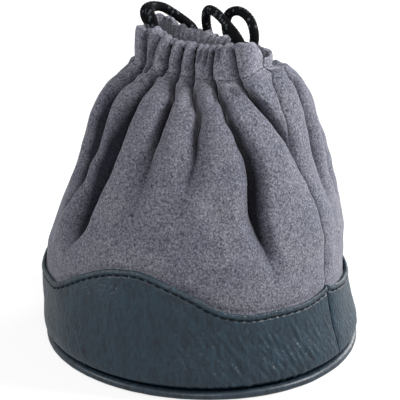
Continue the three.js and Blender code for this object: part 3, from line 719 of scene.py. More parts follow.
def braid_material():
    """Black braid; the flecks come from the yarn numbers kept in the mesh."""
    material, tree, shader = new_material("braided_cord", (0.01, 0.01, 0.012), 0.8)
    fleck = node(tree, "ShaderNodeAttribute", attribute_name="fleck").outputs["Fac"]
    place = node(tree, "ShaderNodeTexCoord").outputs["Object"]
    fuzz = noise(tree, place, 3000, 2.0, 0.6)
    yarn = ramp(tree, fuzz, [(0.3, (0.001, 0.001, 0.0015)), (0.7, (0.0045, 0.0045, 0.006))])
    tree.links.new(mix_colour(tree, fleck, yarn, (0.11, 0.13, 0.15)), shader.inputs["Base Color"])
    shader.inputs["Specular IOR Level"].default_value = 0.07
    bump(tree, shader, fuzz, 0.00012, 0.5)
    return material


suede = suede_material()
leather = leather_material("band_leather", BAND_DARK, BAND_LIGHT)
bead_leather = leather_material("bead_leather", (0.008, 0.014, 0.022), (0.024, 0.040, 0.058), 0.1)
thread = cloth_material("thread", (0.002, 0.003, 0.004), (0.008, 0.011, 0.014), 4000, 0.8)
hem_thread = cloth_material("hem_thread", (0.05, 0.05, 0.06), (0.11, 0.11, 0.13), 4000, 0.7)
lining = cloth_material("lining", (0.07, 0.07, 0.08), (0.12, 0.12, 0.135), 1500)
foam = cloth_material("foam", (0.05, 0.05, 0.055), (0.10, 0.10, 0.11), 900)
board = cloth_material("board", (0.03, 0.03, 0.033), (0.05, 0.05, 0.054), 500, 0.6)
filler = cloth_material("filler_cord", (0.2, 0.2, 0.19), (0.36, 0.36, 0.33), 1800)
braid = braid_material()


# Camera
def make_camera():
    right = Vector((math.cos(CAMERA_TURN), math.sin(CAMERA_TURN), 0))
    away = Vector((-math.sin(CAMERA_TURN), math.cos(CAMERA_TURN), 0))
    look = away * math.cos(CAMERA_RISE) - Vector((0, 0, math.sin(CAMERA_RISE)))
    aim = right * AIM_SIDE + Vector((0, 0, AIM_HEIGHT))
    data = bpy.data.cameras.new("camera")
    data.lens = CAMERA_LENS
    data.sensor_width = SENSOR_WIDTH
    camera = bpy.data.objects.new("camera", data)
    bpy.context.scene.collection.objects.link(camera)
    camera.location = aim - look * CAMERA_DISTANCE
    camera.rotation_mode = "QUATERNION"
    camera.rotation_quaternion = look.to_track_quat("-Z", "Y")
    bpy.context.scene.camera = camera


make_camera()

# Cords
BRAID_SIDES = 32
BRAID_STEP = 0.00034
BRAID_YARNS = 6
BRAID_PITCH = 0.0088
BRAID_RELIEF = 0.00034
BRAID_PROUD = 0.00022
BRAID_END_SHARE = 0.6
BRAID_END_LEAST_SHARE = 0.02
FLECK_SHARE = 0.16
FLECK_NUMBERS = 997


def smooth_path(route, step):
    """Points at even steps along a smooth line through a route."""
    points = np.array(route)
    ends = np.vstack([2 * points[0] - points[1], points, 2 * points[-1] - points[-2]])
    t = np.linspace(0, 1, 40, endpoint=False)[:, None]
    spans = []
    for a, b, c, d in zip(ends, ends[1:], ends[2:], ends[3:]):
        spans.append(0.5 * (2 * b + (c - a) * t + (2 * a - 5 * b + 4 * c - d) * t ** 2
                            + (3 * b - a - 3 * c + d) * t ** 3))
    dense = np.vstack([*spans, points[-1:]])
    travelled = distances(dense)
    count = max(2, int(round(travelled[-1] / step)) + 1)
    even = np.linspace(0, travelled[-1], count)
    return at_distances(even, travelled, dense)


def carried_frames(path):
    """Two directions square to the path, carried along it without twist."""
    ahead = unit(np.gradient(path, axis=0))
    across = np.zeros_like(path)
    start = np.cross(ahead[0], [0.31, 0.87, 0.12])
    across[0] = start / np.linalg.norm(start)
    for k in range(1, len(path)):
        kept = across[k - 1] - ahead[k] * np.dot(across[k - 1], ahead[k])
        across[k] = kept / np.linalg.norm(kept)
    return across, np.cross(ahead, across)


def braided_tube(path, radius, seed):
    """Round braid: yarns of two helices pass over and under each other. Returns points, faces and flecks."""
    travelled = distances(path)
    across, up = carried_frames(path)
    turn = np.linspace(0, 2 * math.pi, BRAID_SIDES, endpoint=False)
    along = travelled[:, None] / BRAID_PITCH * BRAID_YARNS
    one = BRAID_YARNS * turn / (2 * math.pi) + along
    other = BRAID_YARNS * turn / (2 * math.pi) - along
    over = (np.floor(one) + np.floor(other)) % 2
    width = np.where(over == 1, one, other) % 1
    length = np.where(over == 1, other, one) % 1
    height = np.sqrt(np.clip(1 - (2 * width - 1) ** 2, 0, 1)) * (0.55 + 0.45 * np.sin(math.pi * length))
    reach = radius - BRAID_RELIEF * (1 - height)
    from_end = np.minimum(travelled, travelled[-1] - travelled)[:, None]
    inset = np.clip(1 - from_end / (radius * BRAID_END_SHARE), 0, 1)
    reach = reach * np.sqrt(np.clip(1 - inset ** 2, BRAID_END_LEAST_SHARE, 1))
    points = (path[:, None] + across[:, None] * (reach * np.cos(turn))[..., None]
              + up[:, None] * (reach * np.sin(turn))[..., None])
    lucky = np.random.default_rng(seed).random((FLECK_NUMBERS,))
    number = (np.floor(one) * 31 + np.floor(other) * 17 + over * 7).astype(int) % FLECK_NUMBERS
    fleck = (lucky[number] < FLECK_SHARE) * np.clip(height * 1.3 - 0.5, 0, 1)
    count = len(path)
    faces = grid_faces(count, BRAID_SIDES, around=True)
    faces.append(tuple(range(BRAID_SIDES - 1, -1, -1)))
    faces.append(tuple(range((count - 1) * BRAID_SIDES, count * BRAID_SIDES)))
    return points.reshape(-1, 3), faces, fleck.reshape(-1)


def braided_piece(name, tubes):
    """One piece from several braided tubes, with the flecks kept in the mesh."""
    points, faces = merge([(tube_points, tube_faces) for tube_points, tube_faces, _ in tubes])
    piece = make_piece(name, points, faces, braid)
    layer = piece.data.attributes.new("fleck", "FLOAT", "POINT")
    layer.data.foreach_set("value", np.concatenate([fleck for _, _, fleck in tubes]).astype(np.float32))
    return piece


# Knots: a loop of cord drawn tight round the two strands, with the cut ends hanging out
KNOT_TILT = math.radians(14)
KNOT_CORD_RADIUS = 0.00155
KNOT_COIL_RADIUS = 0.0027
KNOT_HALF_HEIGHT = 0.0026
KNOT_TAIL = 0.0112
KNOT_SPACING = 0.00175
KNOT_TURNS = 1.25
KNOT_WAVE = 0.0006
KNOT_ABOVE = 0.0022
KNOT_BELOW = 0.0016
KNOT_BACK = 0.0004


def knot(name, centre, seed, body, node_name):
    turns = np.linspace(0, 1, 60)
    tubes = []
    for number, phase in enumerate((0.0, math.pi)):
        angle = phase + turns * 2 * math.pi * KNOT_TURNS
        coil = np.stack([
            KNOT_COIL_RADIUS * np.cos(angle),
            KNOT_COIL_RADIUS * np.sin(angle),
            KNOT_HALF_HEIGHT * (1 - 2 * turns) + KNOT_WAVE * np.sin(2 * angle),
        ], -1)
        x = -KNOT_SPACING if number else KNOT_SPACING
        top = [(x, 0, KNOT_HALF_HEIGHT + KNOT_ABOVE), (x, KNOT_BACK, KNOT_HALF_HEIGHT)]
        low = [(-x, KNOT_BACK, -KNOT_HALF_HEIGHT - KNOT_BELOW), (-x, 0, -KNOT_TAIL)]
        route = [*top, *coil[4:-4:6].tolist(), *low]
        path = smooth_path(route, BRAID_STEP)
        tubes.append(braided_tube(path, KNOT_CORD_RADIUS, seed + number))
    turned = []
    c, s = math.cos(KNOT_TILT), math.sin(KNOT_TILT)
    for points, faces, fleck in tubes:
        x, y, z = points.T
        placed = np.stack([x, c * y - s * z, s * y + c * z], -1) + np.array(centre)
        turned.append((placed, faces, fleck))
    piece = braided_piece(name, turned)
    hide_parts(node_name)
    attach(piece, body)
    return piece


RIGHT_KNOT = (0.0020, 0.0554, 0.0630)
LEFT_KNOT = (-0.0155, 0.0529, 0.0650)
right_knot = knot("right_knot_cord", RIGHT_KNOT, 5, "right_drawstring", "right_knot")
left_knot = knot("left_knot_cord", LEFT_KNOT, 9, "left_drawstring", "left_knot")

# Free strands: node, route, body, knot, length
STRANDS = [
    ("right_front_strand", RIGHT_FRONT_ROUTE, "right_drawstring", right_knot, 0.116),
    ("right_back_strand", RIGHT_BACK_ROUTE, "right_drawstring", right_knot, 0.113),
    ("left_front_strand", LEFT_FRONT_ROUTE, "left_drawstring", left_knot, 0.104),
    ("left_back_strand", LEFT_BACK_ROUTE, "left_drawstring", left_knot, 0.101),
]
STRAND_SEED = 20
RUN_SEED = 40
RUN_CUT = 0.0001
for number, (name, route, body, tied, length) in enumerate(STRANDS):
    path = smooth_path(route, BRAID_STEP)
    tube = braided_tube(path, CORD_DIAMETER / 2 + BRAID_PROUD, STRAND_SEED + number)
    piece = braided_piece(name + "_cord", [tube])
    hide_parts(name)
    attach(piece, body)

# Runs of the cords inside the hems
for side in ("right", "left"):
    for half in ("front", "back"):
        name = f"{side}_cord_{half}_run"
        low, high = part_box(name)
        level = (low.z + high.z) / 2
        sign = -1 if half == "front" else 1
        places = np.linspace(low.x, high.x, 9)
        bow = high.y - low.y - CORD_DIAMETER
        inner = (low.y if half == "front" else high.y) - sign * CORD_DIAMETER / 2
        route = [(x, inner - sign * bow * (x / high.x) ** 2, level) for x in places]
        tube = braided_tube(smooth_path(route, BRAID_STEP), CORD_DIAMETER / 2 - RUN_CUT, RUN_SEED)
        piece = braided_piece(name + "_cord", [tube])
        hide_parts(name)
        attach(piece, half + "_rim")


# Cloth halves
PICTURE_RIGHT = np.array([math.cos(CAMERA_TURN), math.sin(CAMERA_TURN), 0])
WALL_HEIGHTS, WALL_SIDES, WALL_DEPTHS = np.array(WALL_PROFILE).T
WALL_TRAVEL = distances(np.stack([WALL_HEIGHTS, (WALL_SIDES + WALL_DEPTHS) / 2], -1))
WALL_SHARES = WALL_TRAVEL / WALL_TRAVEL[-1]


def wall_row(share):
    """Height, side reach and front reach at a share of the way from the cloth's foot to the neck."""
    return [curve(share, WALL_SHARES, values) for values in (WALL_HEIGHTS, WALL_SIDES, WALL_DEPTHS)]


def reach_at(height):
    return curve(height, WALL_HEIGHTS, WALL_SIDES), curve(height, WALL_HEIGHTS, WALL_DEPTHS)


def table(value, rows):
    places, values = np.array(rows).T
    return curve(value, places, values)


def leaned(points):
    """Points with the pouch's lean and the soft lower edge that is lifted and drawn in at the left front."""
    x, y, z = points[..., 0], points[..., 1], points[..., 2]
    reach = np.hypot(x, y)
    from_middle = wrapped(np.arctan2(x, -y) - LIFT_ANGLE) / LIFT_SPREAD
    share = np.clip(1 - from_middle ** 2, 0, 1) ** 1.5 * ease(*LIFT_REACHES, reach) * ease(*LIFT_HEIGHTS, z)
    drawn = 1 - LIFT_IN * share / np.maximum(reach, LEAST_REACH)
    moved = np.stack([x * drawn, y * drawn, z + LIFT_HEIGHT * share], -1)
    return moved + table(z, LEAN)[..., None] * PICTURE_RIGHT


def hem_ring(angle, side):
    """For each angle: distance along the hem from its middle, its middle line and direction out."""
    from_middle = angle if side < 0 else math.pi - angle
    sign = np.sign(from_middle)
    along = table(np.degrees(np.abs(from_middle)), HEM_TRACK)
    straight = HEM_HALF_LENGTH - HEM_CORNER
    turn = np.clip((along - straight) / HEM_CORNER, 0, math.pi / 2)
    beyond = np.clip(along - straight - HEM_CORNER * math.pi / 2, 0, None)
    x = np.minimum(along, straight) + HEM_CORNER * np.sin(turn)
    y = HEM_HALF_DEPTH - HEM_CORNER * (1 - np.cos(turn)) - beyond
    centre = np.stack([sign * x, side * y], -1)
    out = np.stack([sign * np.sin(turn), side * np.cos(turn)], -1)
    return sign * along, centre, out


def crease_tracks():
    tracks = [np.array(track)[::-1] for track in CREASES]
    for neck, low, share in PLAIN_CREASES:
        track = np.array(PLAIN_TRACK)[::-1]
        track[:, 1] = neck + (low - neck) * track[:, 1]
        track[:, 2:] *= share
        tracks.append(track)
    return tracks


TRACKS = crease_tracks()
SLOPES = SLOPE_SHARES + [(1.0, 1.0, 1.0)] * len(PLAIN_CREASES)


def column_angles(start, end, height):
    """Angles of the columns at each height: they run along the creases and crowd towards them."""
    low, high = start[0, 0], end[0, 0]
    middles = np.radians([track[len(track) // 2, 1] for track in TRACKS])
    inside = [k for k in np.argsort(middles) if low < middles[k] < high]
    marks = middles[inside]
    fine = np.linspace(low, high, 4000)
    density = 1 + COLUMN_CROWD * sum(np.exp(-((fine - mark) / COLUMN_CROWD_WIDTH) ** 2) for mark in marks)
    reached = np.concatenate([[0], np.cumsum((density[1:] + density[:-1]) / 2)])
    column = np.interp(np.linspace(0, 1, SHEET_COLUMNS), reached / reached[-1], fine)
    known = np.concatenate([[low], marks, [high]])
    rows = []
    for level, first, last in zip(height[:, 0], start[:, 0], end[:, 0]):
        places = np.radians([float(curve(level, TRACKS[k][:, 0], TRACKS[k][:, 1])) for k in inside])
        places = np.clip(places, first + COLUMN_MARGIN, last - COLUMN_MARGIN)
        rows.append(curve(column, known, [first, *places, last]))
    return np.array(rows)


def fold_depth(angle, height, arc):
    """Depth of the creases at an angle and height, where a radian is arc long."""
    total = np.zeros(np.broadcast(angle, height).shape)
    narrowing = np.clip(arc / CREASE_FULL_ARC, *CREASE_NARROWING)
    power = CREASE_BEND + CREASE_BEND_MORE * ease(*CREASE_BEND_HEIGHTS, height)
    slot_width = SLOT_HALF_WIDTH * (1 + SLOT_WIDENING * ease(*SLOT_WIDE_HEIGHTS, height))
    for track, (left, right, left_bend) in zip(TRACKS, SLOPES):
        place = np.radians(curve(height, track[:, 0], track[:, 1]))
        inside = height >= track[0, 0]
        broad = curve(height, track[:, 0], track[:, 2]) * inside
        slot = curve(height, track[:, 0], track[:, 3]) * inside * SLOT_DEPTH
        away = wrapped(angle - place) * arc
        half_width = BROAD_HALF_WIDTH * narrowing * np.where(away < 0, left, right)
        wide = np.clip(1 - np.abs(away) / half_width, 0, 1)
        bend = power * np.where(away < 0, left_bend, 1)
        total += broad * wide ** bend + slot * np.exp(-(np.abs(away) / slot_width) ** SLOT_BEND)
    for degrees, depth in SHORT_CREASES:
        away = wrapped(angle - math.radians(degrees)) * arc
        wide = np.clip(1 - np.abs(away) / SHORT_CREASE_WIDTH, 0, 1)
        total += depth * wide ** 2 * ease(*SHORT_CREASE_HEIGHTS, height)
    return total


def slope_shade(angle, height, arc):
    """Painted shade on the left slopes of the two deep creases at the left of the front."""
    total = np.zeros(np.broadcast(angle, height).shape)
    for track in TRACKS[:2]:
        place = np.radians(curve(height, track[:, 0], track[:, 1]))
        broad = curve(height, track[:, 0], track[:, 2]) * (height >= track[0, 0])
        away = wrapped(angle - place) * arc
        near = np.clip(1 - np.abs(away + SLOPE_SHADE_OFFSET) / SLOPE_SHADE_REACH, 0, 1)
        shade = broad / SLOPE_SHADE_DEPTH * ease(0, SLOPE_SHADE_FULL, near)
        total += shade * ease(*SLOPE_SHADE_HEIGHTS, height)
    return SLOPE_SHADE * total


def pleat_depth(along, rise, pleats, width):
    """Depth of the hem's pleats at a distance along it and a share of its height."""
    total = np.zeros(np.broadcast(along, rise).shape)
    for foot, crest, depth, start in pleats:
        away = np.abs(along - (foot + (crest - foot) * rise))
        strength = depth * (1 if start == 0 else ease(start, start + PLEAT_START_SPAN, rise))
        slot = PLEAT_SLOT_DEPTH * np.exp(-(away / PLEAT_SLOT_WIDTH) ** 2)
        total = np.maximum(total, strength * (np.clip(1 - away / width, 0, 1) ** 2.0 + slot))
    return total


def edge_height(angle, side):
    return table(np.degrees(angle), FRONT_EDGE if side < 0 else BACK_EDGE)


def shoulder(angle, share):
    from_middle = (np.degrees(angle) - SHOULDER_ANGLE) / SHOULDER_SPREAD
    across = np.clip(1 - from_middle ** 2, 0, 1) ** 1.5
    return SHOULDER_OUT * across * ease(*SHOULDER_RISE_SHARES, share) * ease(*SHOULDER_FALL_SHARES, share)


def hem_foot(angle, side):
    """Foot of the hem: distance along it, its middle line, direction out and half its thickness."""
    along, centre, out = hem_ring(angle, side)
    fade = ease(*HEM_END_FADE, np.abs(along))
    outward = HEM_OUTSIDE[side] * (1 - fade) + HEM_END_THICKNESS * fade
    inward = table(np.abs(along), HEM_INSIDE[side])
    return along, centre + out * ((outward - inward) / 2)[:, None], out, (outward + inward) / 2


def cloth_wall(side, share):
    """Outside of one half of the cloth from its foot to the hem, the directions out from it, its neck and
    the painted shading of its colour.
    """
    height, reach_side, reach_depth = wall_row(share)
    swing = SEAM_SWING * ease(*SEAM_SWING_HEIGHTS, height) * ease(*SEAM_RETURN_HEIGHTS, height)
    right_seam = math.pi / 2 - swing
    left_seam = math.pi * (1.5 if side > 0 else -0.5) + 0 * height
    start, end = (left_seam, right_seam) if side < 0 else (right_seam, left_seam)
    angle = column_angles(start, end, height)
    base = np.stack([reach_side * np.sin(angle), -reach_depth * np.cos(angle), height + 0 * angle], -1)
    neck = angle[-1]
    along, middle, out, half = hem_foot(neck, side)
    foot_height = table(along, HEM_FEET[side])
    foot = np.concatenate([middle + out * (half * HEM_PINCH)[:, None], foot_height[:, None]], -1)
    base = base + (foot - base[-1]) * ease(*GATHER_SHARES, share)[..., None]

    normal = unit(np.cross(np.gradient(base, axis=1), np.gradient(base, axis=0)))
    flat_out = np.concatenate([out, np.zeros((len(along), 1))], -1)
    turn_in = ease(*TURN_IN_SHARES, share)[..., None]
    normal = unit(normal * (1 - turn_in) + flat_out * turn_in)
    arc = np.hypot(reach_side * np.cos(angle), reach_depth * np.sin(angle))
    edge = edge_height(angle, side)
    lower = ease(edge - CREASE_FADE_BELOW, edge + CREASE_FADE_ABOVE, height)
    depth = fold_depth(angle, height + 0 * angle, arc) * lower
    # Painted shade: colour darkened with crease depth and on the left slopes
    painted_shading = PLAIN_PAINTED_SHADE + depth / PAINTED_SHADE_DEPTH + slope_shade(angle, height + 0 * angle, arc)
    depth += EDGE_PRESS * np.exp(-((height - edge) / EDGE_PRESS_WIDTH) ** 2)
    seam_away = np.minimum(angle - start, end - angle) * arc
    depth += SEAM_DEPTH * np.exp(-seam_away / SEAM_WIDTH) * ease(*SEAM_HEIGHTS, height)
    swell = sum(soft_noise(base, size, seed) * swell_out for size, seed, swell_out in WALL_SWELLS)
    gather = soft_noise(base * np.array(GATHER_STRETCH), GATHER_SIZE, GATHER_SEED) * GATHER_OUT
    gather = gather * ease(*GATHER_RISE_SHARES, share)
    puff = PUFF_OUT * np.exp(-((share - PUFF_SHARE) / PUFF_SPREAD) ** 2)
    depth = depth - (swell + gather) * lower * ease(*SWELL_END_SHARES, share) - puff - shoulder(angle, share)
    into_hem = ease(*INTO_HEM_SHARES, share)
    pleats = pleat_depth(along, 0, PLEATS[side], HEM_PLEAT_WIDTH)
    depth = depth * (1 - into_hem) + pleats * into_hem
    # Painted light and shade into the hem: darker in its pleats, lighter between them
    painted_shading = painted_shading * (1 - into_hem) + pleats / HEM_PAINTED_SHADE_DEPTH * into_hem
    return base - normal * depth[..., None], normal, neck, painted_shading


def hem_band(side, neck):
    """Hem over its crest, from the foot outside to the foot inside, and the painted light and shade of its
    pleats.
    """
    along, middle, out, half = hem_foot(neck, side)
    foot_height = table(along, HEM_FEET[side])
    crest = table(along, CRESTS[side])
    turn = np.linspace(0, math.pi, HEM_ROWS)[1:-1][:, None]
    cosine, sine = np.cos(turn), np.sin(turn)
    rise = np.abs(sine) ** HEM_RISE_BEND
    offset = np.sign(cosine) * np.abs(cosine) ** HEM_SIDE_BEND
    pinch = HEM_PINCH + (1 - HEM_PINCH) * ease(0.0, HEM_PINCH_RISE, rise)
    outward = pleat_depth(along, rise, PLEATS[side], HEM_PLEAT_WIDTH)
    fine_pleats = [(place, place, HEM_FINE_DEPTH, 0) for place in LINING_PLEATS[side]]
    inward = pleat_depth(along, rise, fine_pleats, HEM_FINE_WIDTH)
    outside = ease(-HEM_CREST_SHARE, HEM_CREST_SHARE, cosine)
    sunk = outward * outside + inward * (1 - outside) * ease(0.0, HEM_FINE_RISE, rise)
    reach = half * offset * pinch - np.sign(cosine) * sunk * (1 - sine ** 6)
    level = foot_height + (crest - foot_height) * rise - sunk * sine ** 4 * CREST_DIP
    hem = np.concatenate([middle + out * reach[..., None], level[..., None]], -1)
    left, right = HEM_ENDS[side]
    spread = np.where(along < 0, -left, right) * ease(*HEM_SPREAD_FADE, np.abs(along))
    hem[..., 0] += spread * rise
    hem[..., 2] += soft_noise(hem, HEM_SWELL_SIZE, HEM_SWELL_SEED) * HEM_SWELL_OUT * rise
    # The last value is painted shading: darker in the pleats, lighter between them
    return hem, middle - out * (half * HEM_PINCH)[:, None], sunk / HEM_PAINTED_SHADE_DEPTH


def cloth_half(side):
    """Grid of one half of the cloth: out from its foot, over the hem's crest and back down inside."""
    share = np.linspace(0, 1, PANEL_ROWS)[:, None]
    panel, normal, neck, wall_painted_shading = cloth_wall(side, share)
    hem, inner_ring, hem_painted_shading = hem_band(side, neck)
    inside_rows = np.arange(PANEL_ROWS - 1, -1, -INSIDE_STEP)
    inner = (panel - normal * PANEL_THICKNESS)[inside_rows]
    inner[0, :, :2] = inner_ring
    rows = leaned(np.concatenate([panel, hem, inner]))
    rows[..., 1] += side * SEAM_GAP / 2
    # Painted shading: wall and hem by crease depth, the inside painted at a fixed darker level
    painted_shading = np.concatenate([wall_painted_shading, hem_painted_shading, np.full(inner.shape[:2], INSIDE_PAINTED_SHADE)])
    return rows, inside_rows, np.clip(painted_shading, 0, 1)


def cloth_faces(rows, columns, inside_rows):
    """Quads of the grid, the turned-in foot and the two side edges."""
    faces = grid_faces(rows, columns)
    last = rows - 1
    faces += [(k, last * columns + k, last * columns + k + 1, k + 1) for k in range(columns - 1)]
    first_inside = rows - len(inside_rows)
    for column in (0, columns - 1):
        line = [row * columns + column for row in range(rows)]
        for k in range(len(inside_rows) - 1):
            high, low = inside_rows[k], inside_rows[k + 1]
            faces.append((*line[low:high + 1], line[first_inside + k], line[first_inside + k + 1]))
        faces.append(tuple(line[PANEL_ROWS - 1:first_inside + 1]))
    return faces


def rim_blend(piece):
    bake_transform(piece)


hem_seams = []
for half, side in HALVES:
    rows, inside_rows, painted_shading = cloth_half(side)
    below, seam, above = rows[HEM_STITCH_ROW - 1:HEM_STITCH_ROW + 2]
    hem_seams.append((seam, unit(np.cross(np.gradient(seam, axis=0), above - below))))
    faces = cloth_faces(len(rows), SHEET_COLUMNS, inside_rows)
    piece = make_piece(half + "_cloth", rows.reshape(-1, 3), faces, suede)
    # The painted light and shade is kept in the mesh for the suede's colour
    layer = piece.data.attributes.new("painted_shading", "FLOAT", "POINT")
    layer.data.foreach_set("value", painted_shading.reshape(-1).astype(np.float32))
    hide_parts(half + "_panel", half + "_casing")
    rim_blend(piece)


# Band of pebbled leather-look material, in two halves with a wavy edge
def half_angles(side, count, end_share):
    """Angles from seam to seam, closer together near the seams."""
    u = np.linspace(0, 1, count)
    u = u - (1 - end_share) * np.sin(2 * math.pi * u) / (2 * math.pi)
    start = -math.pi / 2 if side < 0 else math.pi / 2
    gap = BAND_SEAM_GAP / 2 / BAND_RADIUS
    return start + gap + (math.pi - 2 * gap) * u


def edge_line(angle, side):
    """Height of the band's edge and how much longer a step along its slope is."""
    edge = edge_height(angle, side)
    slope = np.gradient(edge) / (np.gradient(angle) * BAND_RADIUS)
    return edge, np.sqrt(1 + slope ** 2)


def band_relief(angle, height, edge, spread, side):
    """How far the band's face stands out at a place, with its stitched groove, puffed edge and creases."""
    below = (edge - height) / spread
    relief = -GROOVE_DEPTH * np.exp(-((below - STITCH_DROP) / GROOVE_HALF_WIDTH) ** 2)
    relief = relief + EDGE_PUFF * np.exp(-((below - STITCH_DROP / 2) / (STITCH_DROP * EDGE_PUFF_SHARE)) ** 2)
    start = -math.pi / 2 if side < 0 else math.pi / 2
    from_seam = np.minimum(angle - start, start + math.pi - angle) * BAND_RADIUS
    relief = relief - SEAM_ROLL * np.exp(-from_seam / SEAM_ROLL_WIDTH) * ease(*SEAM_ROLL_HEIGHTS, height)
    flare = ease(*FLARE_ANGLES, np.abs(np.arctan2(np.sin(angle), np.abs(np.cos(angle)))))
    relief = relief + EDGE_FLARE * flare * ease(FLARE_REACH, 0.0, below)
    place = np.stack([np.sin(angle) * BAND_RADIUS + 0 * height, np.cos(angle) * BAND_RADIUS + 0 * height,
                      height + 0 * angle], -1)
    level = place[..., 2]
    across = angle * BAND_RADIUS + 0 * height + WRINKLE_SLANT * height
    flat = np.stack([across, 0 * level, WRINKLE_STRETCH * level], -1)
    creased = WRINKLE_SHARE + ease(*WRINKLE_START, angle) * ease(*WRINKLE_END, angle)
    wrinkles = soft_noise(flat, WRINKLE_SIZE, WRINKLE_SEED, WRINKLE_WAVES) * WRINKLE_HEIGHT
    relief = relief + wrinkles * creased * ease(*WRINKLE_FADE, height)
    swell = soft_noise(place, BAND_SWELL_SIZE, BAND_SWELL_SEED) * BAND_SWELL_OUT
    return relief + swell * ease(*BAND_SWELL_HEIGHTS, height)


def band_point(angle, height, out):
    reach_side, reach_depth = reach_at(height)
    tuck = BAND_TUCK * (1 - ease(BAND_FOOT, BAND_FOOT + BAND_TUCK_HEIGHT, height)) ** 1.5
    bulge = BAND_BULGE * np.exp(-((height - BAND_BULGE_HEIGHT) / BAND_BULGE_SPREAD) ** 2)
    out = out + BAND_OUT - tuck + bulge
    x = (reach_side + out) * np.sin(angle)
    y = -(reach_depth + out) * np.cos(angle)
    return leaned(np.stack([x, y, height + 0 * angle], -1))


def band_half(side):
    angle = half_angles(side, BAND_COLUMNS, 0.35)[None, :]
    edge, spread = edge_line(angle[0], side)
    edge, spread = edge[None, :], spread[None, :]
    round_over = BAND_THICKNESS / 2
    strip = EDGE_STRIP * spread
    foot = BAND_FOOT + np.linspace(0, BAND_TUCK_HEIGHT, 12)[:-1, None] + 0 * angle
    body = foot[-1] + (edge - strip - foot[-1]) * np.linspace(0, 1, 56)[1:, None]
    top = edge - strip + (strip - round_over) * np.linspace(0, 1, 30)[1:, None]
    outside = np.concatenate([foot, body, top])
    outer = band_point(angle, outside, band_relief(angle, outside, edge, spread, side))
    turn = np.linspace(0, math.pi, 10)[1:-1, None]
    face = band_relief(angle, edge - round_over, edge, spread, side)
    over = edge - round_over + round_over * np.sin(turn)
    rolled = band_point(angle, over, face - round_over * (1 - np.cos(turn)))
    down = (edge - round_over) + (BAND_FOOT - edge + round_over) * np.linspace(0, 1, 24)[:, None]
    faded = face * ease(BAND_INSIDE_FADE, 0.0, edge - down)
    inner = band_point(angle, down, faded - BAND_THICKNESS - BAND_PRESS)
    return np.concatenate([outer, rolled, inner])


def ring_ends(rows, columns):
    """End faces of a grid whose rows close on themselves."""
    return [tuple(row * columns + column for row in range(rows)) for column in (0, columns - 1)]


for half, side in HALVES:
    rows = band_half(side)
    faces = grid_faces(len(rows), BAND_COLUMNS, rings=True) + ring_ends(len(rows), BAND_COLUMNS)
    piece = make_piece(half + "_band", rows.reshape(-1, 3), faces, leather)
    settle(piece, "band_" + half)


# Stitches
def stitch_row(path, out, pitch, length, radius):
    """Short threads along a path, each dipping in at its ends. out points away from the surface."""
    travelled = distances(path)
    count = int(travelled[-1] / pitch)
    middles = (np.arange(count) + 0.5) * travelled[-1] / count
    u = np.linspace(-1, 1, STITCH_POINTS)
    where = middles[:, None] + u * length / 2
    centre = at_distances(where, travelled, path)
    lift = at_distances(where, travelled, out)
    centre = centre + lift * (radius * (0.9 - 1.7 * u ** 4))[None, :, None]
    along = unit(centre[:, 2:] - centre[:, :-2])
    along = np.concatenate([along[:, :1], along, along[:, -1:]], 1)
    side = unit(np.cross(along, lift))
    up = np.cross(side, along)
    turn = np.linspace(0, 2 * math.pi, STITCH_SIDES, endpoint=False)
    width = radius * np.sqrt(np.clip(1 - u ** 6, 0.12, 1))
    points = (centre[:, :, None] + side[:, :, None] * (width[:, None] * np.cos(turn))[None, :, :, None]
              + up[:, :, None] * (width[:, None] * np.sin(turn))[None, :, :, None])
    faces = []
    size = STITCH_POINTS * STITCH_SIDES
    for first in range(0, count * size, size):
        faces += grid_faces(STITCH_POINTS, STITCH_SIDES, first, around=True)
        faces.append(tuple(range(first + STITCH_SIDES - 1, first - 1, -1)))
        faces.append(tuple(range(first + size - STITCH_SIDES, first + size)))
    return points.reshape(-1, 3), faces


band_rows = []
for half, side in HALVES:
    angle = half_angles(side, 900, 1.0)[8:-8]
    edge, spread = edge_line(angle, side)
    height = edge - STITCH_DROP * spread
    path = band_point(angle, height, band_relief(angle, height, edge, spread, side))
    out = np.stack([np.sin(angle), -np.cos(angle), 0 * angle], -1)
    band_rows.append(stitch_row(path, out, STITCH_PITCH, STITCH_LENGTH, STITCH_RADIUS))
piece = make_piece("band_stitches", *merge(band_rows), thread)
settle(piece, "band_thread")

for (half, side), (seam, out) in zip(HALVES, hem_seams):
    points, faces = stitch_row(seam, out, STITCH_PITCH, STITCH_LENGTH, HEM_STITCH_RADIUS)
    piece = make_piece(half + "_hem_stitches", points, faces, hem_thread)
    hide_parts(half + "_casing_thread")
    rim_blend(piece)


# Turned pieces: the bead round the bottom edge, the underside, the paddings and the linings
def turned(name, outline, count, material, ripple, ripple_size, seed, solid=False):
    outline = np.array(outline)
    turn = np.linspace(0, 2 * math.pi, count, endpoint=False)
    radius, height = outline[:, :1], outline[:, 1:]
    points = np.stack([radius * np.sin(turn), -radius * np.cos(turn), height + 0 * turn], -1)
    steps = np.gradient(outline, axis=0)
    out = unit(np.stack([steps[:, 1], -steps[:, 0]], -1))
    swell = soft_noise(points, ripple_size, seed, 24) * ripple * ease(0.0, RIPPLE_START, radius)
    outward = np.stack([out[:, :1] * np.sin(turn), -out[:, :1] * np.cos(turn), out[:, 1:] + 0 * turn], -1)
    points = points + outward * swell[..., None]
    points = leaned(points)
    points[..., 2] = np.maximum(points[..., 2], FLOOR_CLEARANCE)
    rows = len(outline)
    faces = grid_faces(rows, count, around=True, rings=not solid)
    if solid:
        faces.append(tuple(range(count)))
        faces.append(tuple(range(rows * count - 1, (rows - 1) * count - 1, -1)))
    return make_piece(name, points.reshape(-1, 3), faces, material)


